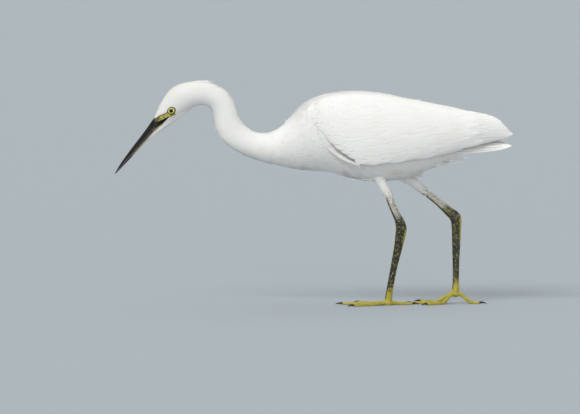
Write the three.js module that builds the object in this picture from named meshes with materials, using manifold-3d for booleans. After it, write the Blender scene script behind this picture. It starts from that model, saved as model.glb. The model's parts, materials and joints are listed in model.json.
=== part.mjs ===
// A little egret at life size, wading: neck stretched low in a shallow S, bill pointing down,
// left leg forward and right leg trailing with its heel lifted.
// Millimetres, +Z up. The bird faces -X, its left side is -Y, and its toes stand on Z = 0.
import * as THREE from "three";
import { mergeVertices } from "three/addons/utils/BufferGeometryUtils.js";
import Module from "manifold-3d";

const wasm = await Module();
wasm.setup();

// Driving dimensions
const GAP = 0.3; // between pieces that touch
const FEATHER_THICK = 0.75;
const BODY_AXIS_Z = 222; // height of the middle of the body
const EYE_RADIUS = 6.2;
const EYE_CENTRE = [-180.0, 7.1, 247.4]; // of the left eye, with its y turned over
const LID_RADIUS = 4.7;
const LID_THICK = 0.85;
const BILL_BASE = [-201.2, 226.2]; // x, z of the mouth line at the root of the bill
const BILL_TIP = [-251.8, 167.0];

// The ribs of head, neck and torso. Each crosses the body from its back line to its throat or belly line.
// back x, back z, belly x, belly z, half width
const RIBS = [
  [-202.3, 237.7, -191.8, 223.1, 5.2], // 0 root of the bill
  [-198.1, 247.9, -184.8, 228.6, 8.0],
  [-193.0, 258.4, -176.5, 234.4, 10.8], // 2 forehead
  [-186.1, 269.2, -168.9, 240.8, 12.6],
  [-177.2, 277.4, -161.3, 246.4, 13.3], // 4 crown
  [-166.4, 281.9, -153.7, 251.1, 13.0],
  [-154.3, 283.8, -146.1, 253.6, 12.3], // 6 nape
  [-141.6, 284.2, -139.7, 254.4, 11.8],
  [-128.7, 282.1, -134.0, 252.7, 11.5], // 8 top bend of the neck
  [-117.1, 276.9, -129.8, 249.2, 11.5],
  [-107.3, 268.9, -127.4, 244.1, 11.6],
  [-101.0, 258.4, -126.4, 237.5, 11.9],
  [-97.4, 247.0, -125.7, 228.9, 12.2], // 12 middle of the neck
  [-93.0, 235.2, -122.6, 218.7, 12.6],
  [-83.8, 225.3, -114.3, 207.8, 13.2],
  [-72.4, 218.9, -101.0, 197.7, 14.2],
  [-59.1, 217.9, -81.9, 187.7, 16.0], // 16 lower bend of the neck
  [-46.4, 222.8, -60.3, 180.8, 19.0],
  [-35.6, 231.4, -38.7, 176.3, 23.5], // 18 base of the neck
  [-26.0, 243.2, -19.7, 172.2, 28.5],
  [-15.9, 254.0, -3.2, 170.9, 33.0], // 20 shoulders
  [-1.9, 262.6, 13.3, 170.2, 36.5],
  [15.9, 268.5, 29.8, 166.9, 39.0],
  [37.5, 271.5, 47.6, 161.0, 40.5],
  [59.1, 272.0, 67.9, 157.7, 40.5], // 24 deepest part of the body
  [81.9, 270.0, 90.8, 157.7, 39.5],
  [106.0, 265.5, 112.4, 159.6, 37.0],
  [127.6, 259.5, 130.2, 164.7, 33.0],
  [146.7, 252.5, 148.0, 173.4, 27.5],
  [160.0, 245.0, 162.5, 178.4, 20.5],
  [169.0, 234.0, 171.5, 183.9, 13.5], // 30 rump
];
const NECK_START = 6.3;
const NECK_SPLITS = [10.4, 14.0];
const TORSO_START = 17.3;
const TORSO_END = RIBS.length - 1;

// The folded wing seen from the side, from its bend to its tip.
// x, top z, bottom z, y of the top edge, y of the widest line
const WING = [
  [-9.5, 250.0, 228.0, 22.5, 29.0],
  [3.2, 260.5, 214.6, 20.0, 37.0],
  [21.0, 266.5, 198.8, 17.5, 42.5],
  [40.0, 269.0, 186.1, 15.5, 45.5],
  [59.1, 269.5, 181.0, 14.0, 46.5],
  [84.5, 268.0, 182.2, 12.0, 46.0],
  [109.9, 263.9, 185.7, 10.0, 43.0],
  [135.3, 258.4, 190.1, 7.5, 38.5],
  [160.7, 252.6, 194.8, 5.5, 32.5],
  [186.1, 248.0, 200.7, 4.5, 26.5],
  [211.5, 245.2, 206.0, 4.0, 22.0],
  [230.5, 241.5, 208.5, 4.0, 18.5],
  [243.2, 237.0, 209.5, 4.0, 16.0],
  [256.0, 231.0, 210.5, 4.0, 14.0],
];
const WING_SWEEP = THREE.MathUtils.degToRad(122); // how far the wing wraps down round the side
const WING_CORE_END = 176; // x where the solid of the wing stops and only feathers go on
const WING_CORE_DEPTH = 2.6; // how far the core lies inside the tips of the feathers

// Legs. x, y, z, half thickness fore and aft, half thickness sideways, for the left leg's y as positive.
const LEFT_LEG = [
  [76.8, 24.0, 174.0, 13.0, 9.0], // 0 inside the belly
  [86.4, 22.5, 157.5, 6.9, 6.3],
  [92.7, 21.0, 144.8, 5.0, 4.8], // 2 end of the thigh's feathers
  [102.2, 18.3, 121.9, 4.3, 4.0],
  [108.6, 16.5, 108.6, 5.2, 4.8],
  [111.1, 15.3, 98.4, 6.9, 5.4], // 5 ankle
  [109.9, 14.6, 87.6, 6.5, 4.9],
  [107.7, 13.2, 74.9, 5.5, 4.2],
  [102.2, 10.8, 49.5, 4.3, 3.6],
  [97.2, 7.9, 21.6, 4.2, 3.8],
  [95.2, 6.5, 7.0, 4.9, 4.8], // 10 knuckle over the toes
];
const RIGHT_LEG = [
  [107.3, 24.0, 171.5, 13.0, 9.0],
  [123.8, 23.0, 158.1, 8.0, 7.0],
  [136.5, 22.0, 147.3, 5.0, 4.8],
  [156.8, 20.0, 131.4, 4.4, 4.1],
  [172.1, 18.5, 118.1, 5.6, 5.0],
  [180.7, 17.5, 109.9, 7.2, 5.6],
  [182.2, 17.0, 97.8, 6.2, 4.9],
  [182.0, 16.5, 78.7, 5.4, 4.2],
  [181.7, 15.5, 54.6, 4.4, 3.6],
  [181.6, 14.5, 30.0, 4.2, 3.8],
  [181.4, 14.0, 17.5, 4.9, 4.8],
];
const THIGH_END = 2;
const TIBIA_END = 5.25;
// Toes: name, heading from straight ahead in degrees with inward positive, length without the claw
const TOES = [
  ["inner", 34, 44],
  ["middle", 6, 58],
  ["outer", -27, 49],
  ["hind", 172, 31],
];
const TOE_RADIUS = 2.7;
const TOE_ROOT_LENGTH = 13; // of each toe, the length that belongs to the foot
const CLAW_LENGTH = 10;

const UP_Y = new THREE.Vector3(0, 1, 0);
const UP_Z = new THREE.Vector3(0, 0, 1);
const vec = (x, y, z) => new THREE.Vector3(x, y, z);
const mix = THREE.MathUtils.lerp;

// A seeded draw, so that the feathers vary the same way each time
function seededDraw(seed) {
  let state = seed;
  return () => {
    state = (state * 1664525 + 1013904223) % 4294967296;
    return state / 4294967296;
  };
}

// The rows of a table, joined by smooth curves: u counts rows
function along(rows, u) {
  const last = rows.length - 1;
  const i = Math.min(Math.max(Math.floor(u), 0), last - 1);
  const t = u - i;
  const [a, b, c, d] = [i - 1, i, i + 1, i + 2].map((k) => rows[Math.min(Math.max(k, 0), last)]);
  return b.map((_, k) => {
    const slopeIn = (c[k] - a[k]) / 2;
    const slopeOut = (d[k] - b[k]) / 2;
    const rise = c[k] - b[k];
    const cubic = slopeIn + slopeOut - 2 * rise;
    return b[k] + t * (slopeIn + t * (3 * rise - 2 * slopeIn - slopeOut + t * cubic));
  });
}

// Solids

function solidOf(points, triangles) {
  const vertProperties = new Float32Array(points.flatMap((p) => [p.x, p.y, p.z]));
  const make = (faces) =>
    new wasm.Manifold(
      new wasm.Mesh({ numProp: 3, vertProperties, triVerts: new Uint32Array(faces.flat()) }),
    );
  const solid = make(triangles);
  return solid.volume() > 0 ? solid : make(triangles.map(([a, b, c]) => [a, c, b]));
}

function solidOfGeometry(geometry) {
  geometry.deleteAttribute("normal");
  geometry.deleteAttribute("uv");
  const merged = mergeVertices(geometry, 1e-3);
  const at = merged.attributes.position;
  const points = Array.from({ length: at.count }, (_, i) => vec(at.getX(i), at.getY(i), at.getZ(i)));
  const index = Array.from(merged.index.array);
  const triangles = Array.from({ length: index.length / 3 }, (_, i) => index.slice(3 * i, 3 * i + 3));
  return solidOf(points, triangles.filter(([a, b, c]) => a !== b && b !== c && a !== c));
}

// Rings of points skinned one to the next, with a fan over each end
function loft(rings) {
  const sides = rings[0].length;
  const middle = (ring) => ring.reduce((sum, p) => sum.add(p), vec(0, 0, 0)).divideScalar(sides);
  const points = [...rings.flat(), middle(rings[0]), middle(rings.at(-1))];
  const first = points.length - 2;
  const end = points.length - 1;
  const lastRing = (rings.length - 1) * sides;
  const triangles = [];
  for (let j = 0; j < sides; j += 1) {
    const next = (j + 1) % sides;
    for (let i = 0; i < rings.length - 1; i += 1) {
      const [a, b, c, d] = [i * sides + j, i * sides + next, (i + 1) * sides + j, (i + 1) * sides + next];
      triangles.push([a, b, d], [a, d, c]);
    }
    triangles.push([first, next, j], [end, lastRing + j, lastRing + next]);
  }
  return solidOf(points, triangles);
}

// Two grids of points, outer and inner, closed into a plate whose faces are split alike
function plate(outer, inner) {
  const rows = outer.length;
  const columns = outer[0].length;
  const points = [...outer.flat(), ...inner.flat()];
  const out = (i, j) => i * columns + j;
  const back = (i, j) => rows * columns + out(i, j);
  const triangles = [];
  for (let i = 0; i < rows - 1; i += 1)
    for (let j = 0; j < columns - 1; j += 1) {
      triangles.push([out(i, j), out(i + 1, j), out(i + 1, j + 1)], [out(i, j), out(i + 1, j + 1), out(i, j + 1)]);
      triangles.push([back(i, j), back(i + 1, j + 1), back(i + 1, j)], [back(i, j), back(i, j + 1), back(i + 1, j + 1)]);
    }
  const wall = (i0, j0, i1, j1) =>
    triangles.push([out(i0, j0), out(i1, j1), back(i1, j1)], [out(i0, j0), back(i1, j1), back(i0, j0)]);
  for (let i = 0; i < rows - 1; i += 1) {
    wall(i + 1, 0, i, 0);
    wall(i, columns - 1, i + 1, columns - 1);
  }
  for (let j = 0; j < columns - 1; j += 1) {
    wall(0, j, 0, j + 1);
    wall(rows - 1, j + 1, rows - 1, j);
  }
  return solidOf(points, triangles);
}

const join = (solids) => solids.reduce((sum, s) => sum.add(s));

// The largest closed surface: sealed hollows are filled and loose scraps dropped
function largest(solid) {
  return solid.decompose().reduce((best, s) => (s.volume() > best.volume() ? s : best));
}

function ball(radius, centre, scale = [1, 1, 1], around = 12, down = 8) {
  const g = new THREE.SphereGeometry(radius, around, down);
  g.scale(...scale);
  g.translate(...centre);
  return solidOfGeometry(g);
}

// Everything below the floor
function underfloor() {
  const g = new THREE.BoxGeometry(900, 400, 60);
  g.translate(0, 0, -30);
  return solidOfGeometry(g);
}

// Head, neck and torso

const BODY_SIDES = 18;
const BROAD_ABOVE = 0.06; // how much broader the torso is above its middle

// A ring of the body at rib u, grown outwards and shifted along the body
function bodyRing(u, grow = 0, shift = 0, shrink = 1) {
  const [backX, backZ, bellyX, bellyZ, half] = along(RIBS, u);
  const middle = vec((backX + bellyX) / 2, 0, (backZ + bellyZ) / 2);
  const up = vec(backX - bellyX, 0, backZ - bellyZ).divideScalar(2);
  const height = up.length() * shrink + grow;
  const width = half * shrink + grow;
  up.normalize();
  const tailward = vec(up.z, 0, -up.x);
  const broadAbove = u > TORSO_START ? BROAD_ABOVE : 0;
  return Array.from({ length: BODY_SIDES }, (_, k) => {
    const turn = (2 * Math.PI * k) / BODY_SIDES;
    return middle
      .clone()
      .addScaledVector(up, Math.cos(turn) * height)
      .addScaledVector(UP_Y, Math.sin(turn) * width * (1 + broadAbove * Math.cos(turn)))
      .addScaledVector(tailward, shift);
  });
}

// A length of the body from rib u0 to rib u1, half the gap short at each end
function bodyLength(u0, u1, steps, grow = 0) {
  const rings = [];
  for (let i = 0; i <= steps; i += 1) {
    const trim = i === 0 ? GAP / 2 - grow : i === steps ? -GAP / 2 + grow : 0;
    rings.push(bodyRing(mix(u0, u1, i / steps), grow, trim));
  }
  return rings;
}

function torsoSolid(grow) {
  const rings = bodyLength(TORSO_START, TORSO_END, 16, grow);
  rings.push(bodyRing(TORSO_END, grow, 5 + grow, 0.82), bodyRing(TORSO_END, grow, 9 + grow, 0.45));
  return loft(rings);
}

// A point on the torso: rib u, turn from the back line in degrees, left side positive
function torsoPoint(u, degrees) {
  const [backX, backZ, bellyX, bellyZ, half] = along(RIBS, u);
  const turn = THREE.MathUtils.degToRad(degrees);
  const up = vec(backX - bellyX, 0, backZ - bellyZ).divideScalar(2);
  return vec((backX + bellyX) / 2, 0, (backZ + bellyZ) / 2)
    .addScaledVector(up, Math.cos(turn))
    .addScaledVector(UP_Y, -Math.sin(turn) * half * (1 + BROAD_ABOVE * Math.cos(turn)));
}

// Feathers

// How broad a feather is along its length, at these stops from root to tip
const VANE_STEPS = [0, 0.28, 0.62, 0.88, 1];
const ROUND_VANE = [0.55, 0.92, 1, 0.74, 0.2];
const LANCE_VANE = [0.55, 0.95, 0.78, 0.4, 0.12];
const TILT_SHARE = [0, 0.3, 0.8, 1, 0.6];
// Heights over the surface at the same stops, for a feather on the torso
const BODY_RISE = [-2.2, 0.9, 1.3, 1.6, 1.7];

// A feather laid on a surface. surface(a, b) gives points, from and to are (a, b) pairs, and b runs across it.
// rise holds its heights, and tilt lifts the side of larger b, so that neighbours lie like tiles.
function vaneOn(surface, from, to, width, { rise = BODY_RISE, tilt = 0, breadth = ROUND_VANE } = {}) {
  const top = [];
  const under = [];
  const reach = 0.5;
  const sliver = 0.01;
  VANE_STEPS.forEach((s, i) => {
    const a = mix(from[0], to[0], s);
    const b = mix(from[1], to[1], s);
    const perB = surface(a, b + sliver).distanceTo(surface(a, b - sliver)) / (2 * sliver);
    const half = (width * breadth[i]) / 2 / perB;
    const rows = [-1, 0, 1].map((k) => {
      const at = b + k * half;
      const p = surface(a, at);
      const lengthwise = surface(a + reach, at).sub(surface(a - reach, at));
      const crosswise = surface(a, at + sliver).sub(surface(a, at - sliver));
      const normal = crosswise.cross(lengthwise).normalize();
      const outward = vec(0, p.y, p.z - BODY_AXIS_Z);
      if (normal.dot(outward) < 0) normal.negate();
      const height = rise[i] + TILT_SHARE[i] * tilt * k - 0.12 * Math.abs(k);
      return [p.clone().addScaledVector(normal, height), p.clone().addScaledVector(normal, height - FEATHER_THICK)];
    });
    top.push(rows.map((r) => r[0]));
    under.push(rows.map((r) => r[1]));
  });
  return plate(top, under);
}

// A feather that stands free: from root to tip, bowed out along the way it faces, and cupped across
function freeVane(root, tip, facing, width, { bow = 0, cup = 0.06, breadth = ROUND_VANE } = {}) {
  const way = tip.clone().sub(root).normalize();
  const across = way.clone().cross(facing).normalize();
  const face = across.clone().cross(way).normalize();
  const top = [];
  const under = [];
  VANE_STEPS.forEach((s, i) => {
    const middle = root.clone().lerp(tip, s).addScaledVector(face, 4 * bow * s * (1 - s));
    const half = (width * breadth[i]) / 2;
    const rows = [-1, 0, 1].map((k) =>
      middle.clone().addScaledVector(across, k * half).addScaledVector(face, -cup * half * Math.abs(k)));
    top.push(rows);
    under.push(rows.map((p) => p.clone().addScaledVector(face, -FEATHER_THICK)));
  });
  return plate(top, under);
}

// Eyes

const eyeCentre = (side) => [EYE_CENTRE[0], side * EYE_CENTRE[1], EYE_CENTRE[2]];

function eyelid(side) {
  const g = new THREE.TorusGeometry(LID_RADIUS, LID_THICK, 5, 14);
  g.rotateX(Math.PI / 2);
  g.rotateZ(side * 0.12);
  const out = side * Math.sqrt(EYE_RADIUS ** 2 - LID_RADIUS ** 2);
  g.translate(EYE_CENTRE[0] - 0.6, side * EYE_CENTRE[1] + out, EYE_CENTRE[2]);
  return solidOfGeometry(g);
}

// Bill

const billWay = vec(BILL_TIP[0] - BILL_BASE[0], 0, BILL_TIP[1] - BILL_BASE[1]);
const BILL_LENGTH = billWay.length();
billWay.normalize();
const billUp = vec(billWay.z, 0, -billWay.x);
const billPoint = (a, y, up) =>
  vec(BILL_BASE[0], 0, BILL_BASE[1]).addScaledVector(billWay, a).addScaledVector(UP_Y, y).addScaledVector(billUp, up);

// distance from the root, half width, height of the upper half, depth of the lower half
const BILL = [
  [-12, 5.9, 8.3, 6.0],
  [-4, 5.4, 7.8, 5.0],
  [6, 4.8, 6.7, 4.0],
  [22, 3.9, 5.6, 3.2],
  [38, 3.2, 4.8, 2.7],
  [54, 2.3, 3.7, 1.9],
  [64, 1.7, 2.7, 1.4],
  [72, 1.0, 1.4, 0.9],
  [BILL_LENGTH, 0.3, 0.35, 0.35],
];
const BILL_SIDES = 6;

function billHalf(upper, grow = 0) {
  const turned = upper ? 1 : -1;
  const rings = Array.from({ length: BILL.length + 3 }, (_, i) => {
    const [a, half, above, below] = along(BILL, (i * (BILL.length - 1)) / (BILL.length + 2));
    const height = (upper ? above : below) + grow;
    return Array.from({ length: BILL_SIDES + 1 }, (_, k) => {
      const turn = (Math.PI * k) / BILL_SIDES;
      const y = (half + grow) * Math.sign(Math.cos(turn)) * Math.abs(Math.cos(turn)) ** 0.85;
      return billPoint(a, y, turned * (GAP / 2 + height * Math.sin(turn) ** 1.1));
    });
  });
  return loft(rings);
}

// Everything behind the face where the bill meets the head, with that face moved back by shift
function behindBill(shift) {
  const g = new THREE.BoxGeometry(60, 60, 60);
  g.translate(30 + shift, 0, 0);
  const [backX, backZ, bellyX, bellyZ] = RIBS[0];
  const slope = Math.atan2(backZ - bellyZ, backX - bellyX);
  g.rotateY(Math.PI / 2 - slope);
  g.translate((backX + bellyX) / 2, 0, (backZ + bellyZ) / 2);
  return solidOfGeometry(g);
}

function nostril(side) {
  const g = new THREE.SphereGeometry(1, 10, 8);
  g.scale(5, 1.2, 0.8);
  g.rotateY(Math.atan2(billWay.z, -billWay.x));
  const at = billPoint(4, side * 5.2, 3.6);
  g.translate(at.x, at.y, at.z);
  return solidOfGeometry(g);
}

// The wedge of feathers that runs forward under the root of the bill
function chinWedge() {
  const rows = [
    [-9, 5.2, 12.5, 4.6],
    [-3, 4.6, 9.0, 4.2],
    [6, 4.4, 6.3, 3.0],
    [13.5, 3.8, 4.6, 1.3],
  ]; // distance from the root, top, bottom, half width
  return loft(rows.map(([a, top, bottom, half]) => [
    billPoint(a, half * 0.8, -top),
    billPoint(a, half, -(top + bottom) / 2),
    billPoint(a, 0, -bottom),
    billPoint(a, -half, -(top + bottom) / 2),
    billPoint(a, -half * 0.8, -top),
  ]));
}

// The line of the mouth, running back under the eye
const GAPE = [
  [-199.6, 228.9],
  [-195.5, 232.6],
  [-190.2, 235.9],
  [-183.2, 240.6],
];
function mouthLine() {
  return join(GAPE.slice(1).map(([x, z], i) => {
    const [x0, z0] = GAPE[i];
    const g = new THREE.BoxGeometry(Math.hypot(x - x0, z - z0) + 1, 60, 0.8);
    g.rotateY(-Math.atan2(z - z0, x - x0));
    g.translate((x + x0) / 2, 0, (z + z0) / 2);
    return solidOfGeometry(g);
  }));
}

function headSolid() {
  const skull = loft(bodyLength(0, NECK_START, 13));
  const inside = loft(bodyLength(0, NECK_START, 13, -1.5));
  const slot = mouthLine().subtract(inside);
  const lids = [-1, 1].map(eyelid);
  const sockets = [-1, 1].map((side) => ball(EYE_RADIUS + GAP, eyeCentre(side)));
  const underBill = billHalf(false, GAP).subtract(behindBill(GAP / 2));
  return largest(join([skull, ...lids, chinWedge(), ...crest()]).subtract(join([slot, underBill, ...sockets])));
}

// A few loose feathers at the nape
function crest() {
  return [-1, 0, 1].map((k) => {
    const root = vec(-163 + 2 * Math.abs(k), 2.4 * k, 281.2 - 0.6 * Math.abs(k));
    const tip = vec(-132 - 2 * Math.abs(k), 5.2 * k, 286.2 - 0.3 * Math.abs(k));
    return freeVane(root, tip, UP_Z, 4.5, { bow: 3, breadth: LANCE_VANE });
  });
}

// Mantle feathers that close the back between the wings, the bib at the base of the neck, and the vent
function mantle() {
  const rows = [
    [20.6, 1, 13],
    [22.3, 0, 22],
    [24.0, 0, 18],
    [25.5, 0, 13],
  ]; // rib of the roots, feathers to each side of the middle one, width
  return rows.flatMap(([start, sideways, width]) =>
    Array.from({ length: 2 * sideways + 1 }, (_, i) => {
      const turn = (i - sideways) * 12;
      return vaneOn(torsoPoint, [start, 1.1 * turn], [start + 2.5, turn], width);
    }));
}

function bib() {
  return [-2, -1, 0, 1, 2].map((k) => {
    const start = 18.5 + 0.12 * Math.abs(k);
    const turn = 180 + 19 * k;
    return vaneOn(torsoPoint, [start, turn], [start + 2.3, turn], 12, { breadth: LANCE_VANE });
  });
}

function vent() {
  const draw = seededDraw(11);
  return [-2, -1, 0, 1, 2].map((k) => {
    const low = 1 - Math.abs(k) / 3;
    const root = vec(160 - 5 * low, 6.0 * k, 183.5 - 4 * low);
    const tip = vec(191 + 4 * draw() - 4 * Math.abs(k), 6.5 * k, 189.5 - 1.5 * low + draw());
    return freeVane(root, tip, vec(0.4, 0.25 * k, -1), 9, { bow: 1.5, breadth: LANCE_VANE });
  });
}

// Wings

// The row of the wing's table at x
function wingRow(x) {
  const last = WING.length - 1;
  const clamped = THREE.MathUtils.clamp(x, WING[0][0], WING[last][0]);
  const row = Math.max(WING.findIndex((w) => w[0] >= clamped), 1);
  return along(WING, row - 1 + (clamped - WING[row - 1][0]) / (WING[row][0] - WING[row - 1][0]));
}

// A point on the outside of the wing: x along it, v from its top edge to its bottom edge
function wingPoint(side, x, v) {
  const [, top, bottom, inner, outer] = wingRow(x);
  const turn = Math.max(v, 0) * WING_SWEEP;
  const fall = (1 - Math.cos(turn)) / (1 - Math.cos(WING_SWEEP));
  return vec(x, side * (inner + (outer - inner) * Math.sin(turn)), top - (top - bottom) * fall);
}

// The v at which the outside of the wing has the height z
function wingAcross(x, z) {
  const [, top, bottom] = wingRow(x);
  const fall = THREE.MathUtils.clamp((top - z) / (top - bottom), 0, 1);
  return Math.acos(1 - fall * (1 - Math.cos(WING_SWEEP))) / WING_SWEEP;
}

function wingNormal(side, x, v) {
  const lengthwise = wingPoint(side, x + 1, v).sub(wingPoint(side, x - 1, v));
  const crosswise = wingPoint(side, x, v + 0.01).sub(wingPoint(side, x, Math.max(v - 0.01, 0)));
  const normal = lengthwise.cross(crosswise).normalize();
  return normal.y * side < 0 ? normal.negate() : normal;
}

function wingCore(side) {
  const outer = [];
  const inner = [];
  const rows = 11;
  const columns = 8;
  for (let i = 0; i < rows; i += 1) {
    const x = mix(WING[0][0] + 0.5, WING_CORE_END, i / (rows - 1));
    const feathered = THREE.MathUtils.smoothstep(x, 15, 60);
    const backward = THREE.MathUtils.smoothstep(x, 100, WING_CORE_END);
    const thick = mix(9, 3, backward);
    const out = [];
    const back = [];
    for (let j = 0; j < columns; j += 1) {
      const v = j / (columns - 1);
      const p = wingPoint(side, x, v);
      const normal = wingNormal(side, x, v);
      const edge = 1 - 0.6 * Math.abs(2 * v - 1) ** 4;
      const depth = WING_CORE_DEPTH * feathered + 3.5 * backward * v;
      out.push(p.clone().addScaledVector(normal, -depth));
      back.push(p.clone().addScaledVector(normal, -depth - thick * edge));
    }
    outer.push(out);
    inner.push(back);
  }
  return plate(outer, inner);
}

// The coverts and scapulars, in tiers that overlap like tiles. For each tier: how many, and the x and height of
// the root and of the tip of its lowest and of its highest feather.
const TIERS = [
  { count: 5, root: [92, 187.5, 106, 245], tip: [146, 191.5, 160, 245], width: 18 },
  { count: 5, root: [52, 185.0, 66, 246], tip: [110, 187.0, 122, 245], width: 20 },
  { count: 4, root: [16, 211.0, 30, 245], tip: [68, 192.0, 82, 243], width: 21 },
  { count: 4, root: [14, 259.0, 106, 257], tip: [66, 260.0, 166, 249], width: 18 },
];
const TIER_RISE = [-4.4, -1.6, -0.8, -0.1, 0.2];

// The flight feathers: x and height of each tip, from the lowest primary to the highest tertial
const FLIGHT_TIPS = [
  [226, 209.5],
  [238, 212.0],
  [252, 216.5],
  [249, 221.5],
  [245, 226.0],
  [241, 231.0],
  [236, 235.5],
  [228, 240.0],
  [213, 244.5],
];
const FLIGHT_ROOTS = [126, 191, 118, 255]; // x and height, of the lowest and of the highest
const FLIGHT_WIDTH = 15;
const FLIGHT_STEP = 0.95; // how much deeper each tip lies than the one above it

function wingFeathers(side) {
  const surface = (x, v) => wingPoint(side, x, v);
  const lay = (root, tip, width, rise) =>
    vaneOn(surface, [root[0], wingAcross(...root)], [tip[0], wingAcross(...tip)], width, { rise, tilt: 0.7 });
  const draw = seededDraw(side > 0 ? 5 : 3);
  const tiers = TIERS.flatMap(({ count, root, tip, width }) =>
    Array.from({ length: count }, (_, i) => {
      const t = i / (count - 1);
      const from = [mix(root[0], root[2], t), mix(root[1], root[3], t)];
      const to = [mix(tip[0], tip[2], t) + 3 * (draw() - 0.5), mix(tip[1], tip[3], t)];
      return lay(from, to, width, TIER_RISE);
    }));
  const flights = FLIGHT_TIPS.map((tip, i) => {
    const t = i / (FLIGHT_TIPS.length - 1);
    const depth = FLIGHT_STEP * (FLIGHT_TIPS.length - 1 - i);
    const [x0, z0, x1, z1] = FLIGHT_ROOTS;
    const rise = [-4.8, -1.7 - 0.1 * depth, -1.1 - 0.55 * depth, -0.4 - 0.9 * depth, -0.2 - depth];
    return lay([mix(x0, x1, t), mix(z0, z1, t)], tip, FLIGHT_WIDTH, rise);
  });
  return [...tiers, ...flights];
}

function wingSolid(side, torsoClear) {
  return largest(join([wingCore(side), ...wingFeathers(side)]).subtract(torsoClear));
}

// Tail: twelve feathers, the middle pair on top
const TAIL_ROOT = [161, 197.5];
const TAIL_LENGTH = 91;
const TAIL_PAIRS = 6;

function tailSolid(torsoClear) {
  const stump = loft([0, 8, 20, 30].map((a, i) => {
    const centre = vec(TAIL_ROOT[0] + a, 0, TAIL_ROOT[1] + 0.09 * a - 1.5);
    const half = [9, 10.5, 10, 6][i];
    const deep = [5, 4.4, 3, 1.6][i];
    return Array.from({ length: 14 }, (_, k) => {
      const turn = (2 * Math.PI * k) / 14;
      return centre.clone().add(vec(0, half * Math.cos(turn), deep * Math.sin(turn)));
    });
  }));
  const feathers = [];
  for (let pair = 0; pair < TAIL_PAIRS; pair += 1)
    for (const side of [-1, 1]) {
      const outward = pair + 0.5;
      const drop = 0.85 * outward + 0.06 * outward ** 2;
      const root = vec(TAIL_ROOT[0] + 8, side * 1.2 * outward, TAIL_ROOT[1] + 1.6 - 0.55 * outward);
      const length = TAIL_LENGTH - 0.5 * outward ** 2 - 8;
      const tip = vec(root.x + length, side * 3.5 * outward, root.z + 9.6 - drop);
      const facing = vec(0, side * 0.06 * outward, 1);
      feathers.push(freeVane(root, tip, facing, 12.5, { bow: 1.2, cup: 0.02 }));
    }
  return largest(join([stump, ...feathers]).subtract(torsoClear));
}

// Legs

const LEG_SIDES = 10;

function legLength(rows, side, u0, u1, steps) {
  const rings = [];
  for (let i = 0; i <= steps; i += 1) {
    const u = mix(u0, u1, i / steps);
    const [x, y, z, foreAft, sideways] = along(rows, u);
    const ahead = along(rows, Math.min(u + 0.05, rows.length - 1));
    const behind = along(rows, Math.max(u - 0.05, 0));
    const way = vec(ahead[0] - behind[0], side * (ahead[1] - behind[1]), ahead[2] - behind[2]).normalize();
    const forward = way.clone().cross(UP_Y).normalize();
    const outward = forward.clone().cross(way).normalize();
    const trim = i === 0 ? GAP / 2 : i === steps ? -GAP / 2 : 0;
    const centre = vec(x, side * y, z).addScaledVector(way, trim);
    rings.push(Array.from({ length: LEG_SIDES }, (_, k) => {
      const turn = (2 * Math.PI * k) / LEG_SIDES;
      return centre
        .clone()
        .addScaledVector(forward, foreAft * Math.cos(turn))
        .addScaledVector(outward, sideways * Math.sin(turn));
    }));
  }
  return loft(rings);
}

// Where a foot's toes spring from: under the knuckle, and no lower than lets them lie on the floor
function footCentre(rows, side) {
  const [x, y, z] = rows.at(-1);
  return [x - 0.5, side * y, Math.max(z - 4.6, 3.0)];
}

// The line of a toe, from the foot to the root of its claw. A lifted foot lets it down in a curve.
function toePath(rows, side, [, heading, length], s) {
  const [x, y, knuckle] = footCentre(rows, side);
  const turn = THREE.MathUtils.degToRad(heading);
  const hind = Math.abs(heading) > 90;
  const drop = 1 - THREE.MathUtils.smoothstep(s, 0, hind ? 0.7 : 0.45);
  const reach = 3 + (length - 3) * s;
  const low = mix(TOE_RADIUS, 1.7, s) * 0.8;
  return vec(x - reach * Math.cos(turn), y - side * reach * Math.sin(turn), mix(low, knuckle, drop));
}

function ringsOnPath(path, radiusAt, stops, sides) {
  return stops.map((s) => {
    const way = path(Math.min(s + 0.02, 1)).sub(path(Math.max(s - 0.02, 0))).normalize();
    const across = way.clone().cross(UP_Z).normalize();
    const over = across.clone().cross(way);
    const radius = radiusAt(s);
    return Array.from({ length: sides }, (_, k) => {
      const turn = (2 * Math.PI * k) / sides;
      return path(s)
        .addScaledVector(across, radius * Math.cos(turn))
        .addScaledVector(over, radius * Math.sin(turn));
    });
  });
}

const toeRadius = (toe) => (s) => {
  const joints = toe[0] === "hind" ? 2 : 3;
  return mix(TOE_RADIUS, 1.8, s) * (1 + 0.11 * Math.cos(2 * Math.PI * joints * s));
};
const toeRootEnd = ([, , length]) => TOE_ROOT_LENGTH / length;

// The foot: a knuckle with the roots of the toes, flat where it meets the floor
function footSolid(rows, side, cuts) {
  const roots = TOES.map((toe) => {
    const path = (s) => toePath(rows, side, toe, s);
    return loft(ringsOnPath(path, toeRadius(toe), [0, toeRootEnd(toe) / 2, toeRootEnd(toe)], 6));
  });
  const knuckle = ball(5.2, footCentre(rows, side), [1.1, 1.0, 0.9], 10, 6);
  return largest(join([knuckle, ...roots]).subtract(join(cuts)));
}

// A toe swells at its joints, and its underside is flat on the floor
function toeSolid(rows, side, toe, floor) {
  const path = (s) => toePath(rows, side, toe, s);
  const start = toeRootEnd(toe) + GAP / toe[2];
  const steps = toe[0] === "hind" ? 6 : 9;
  const stops = Array.from({ length: steps + 1 }, (_, i) => mix(start, 1, i / steps));
  return largest(loft(ringsOnPath(path, toeRadius(toe), stops, 6)).subtract(floor));
}

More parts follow.
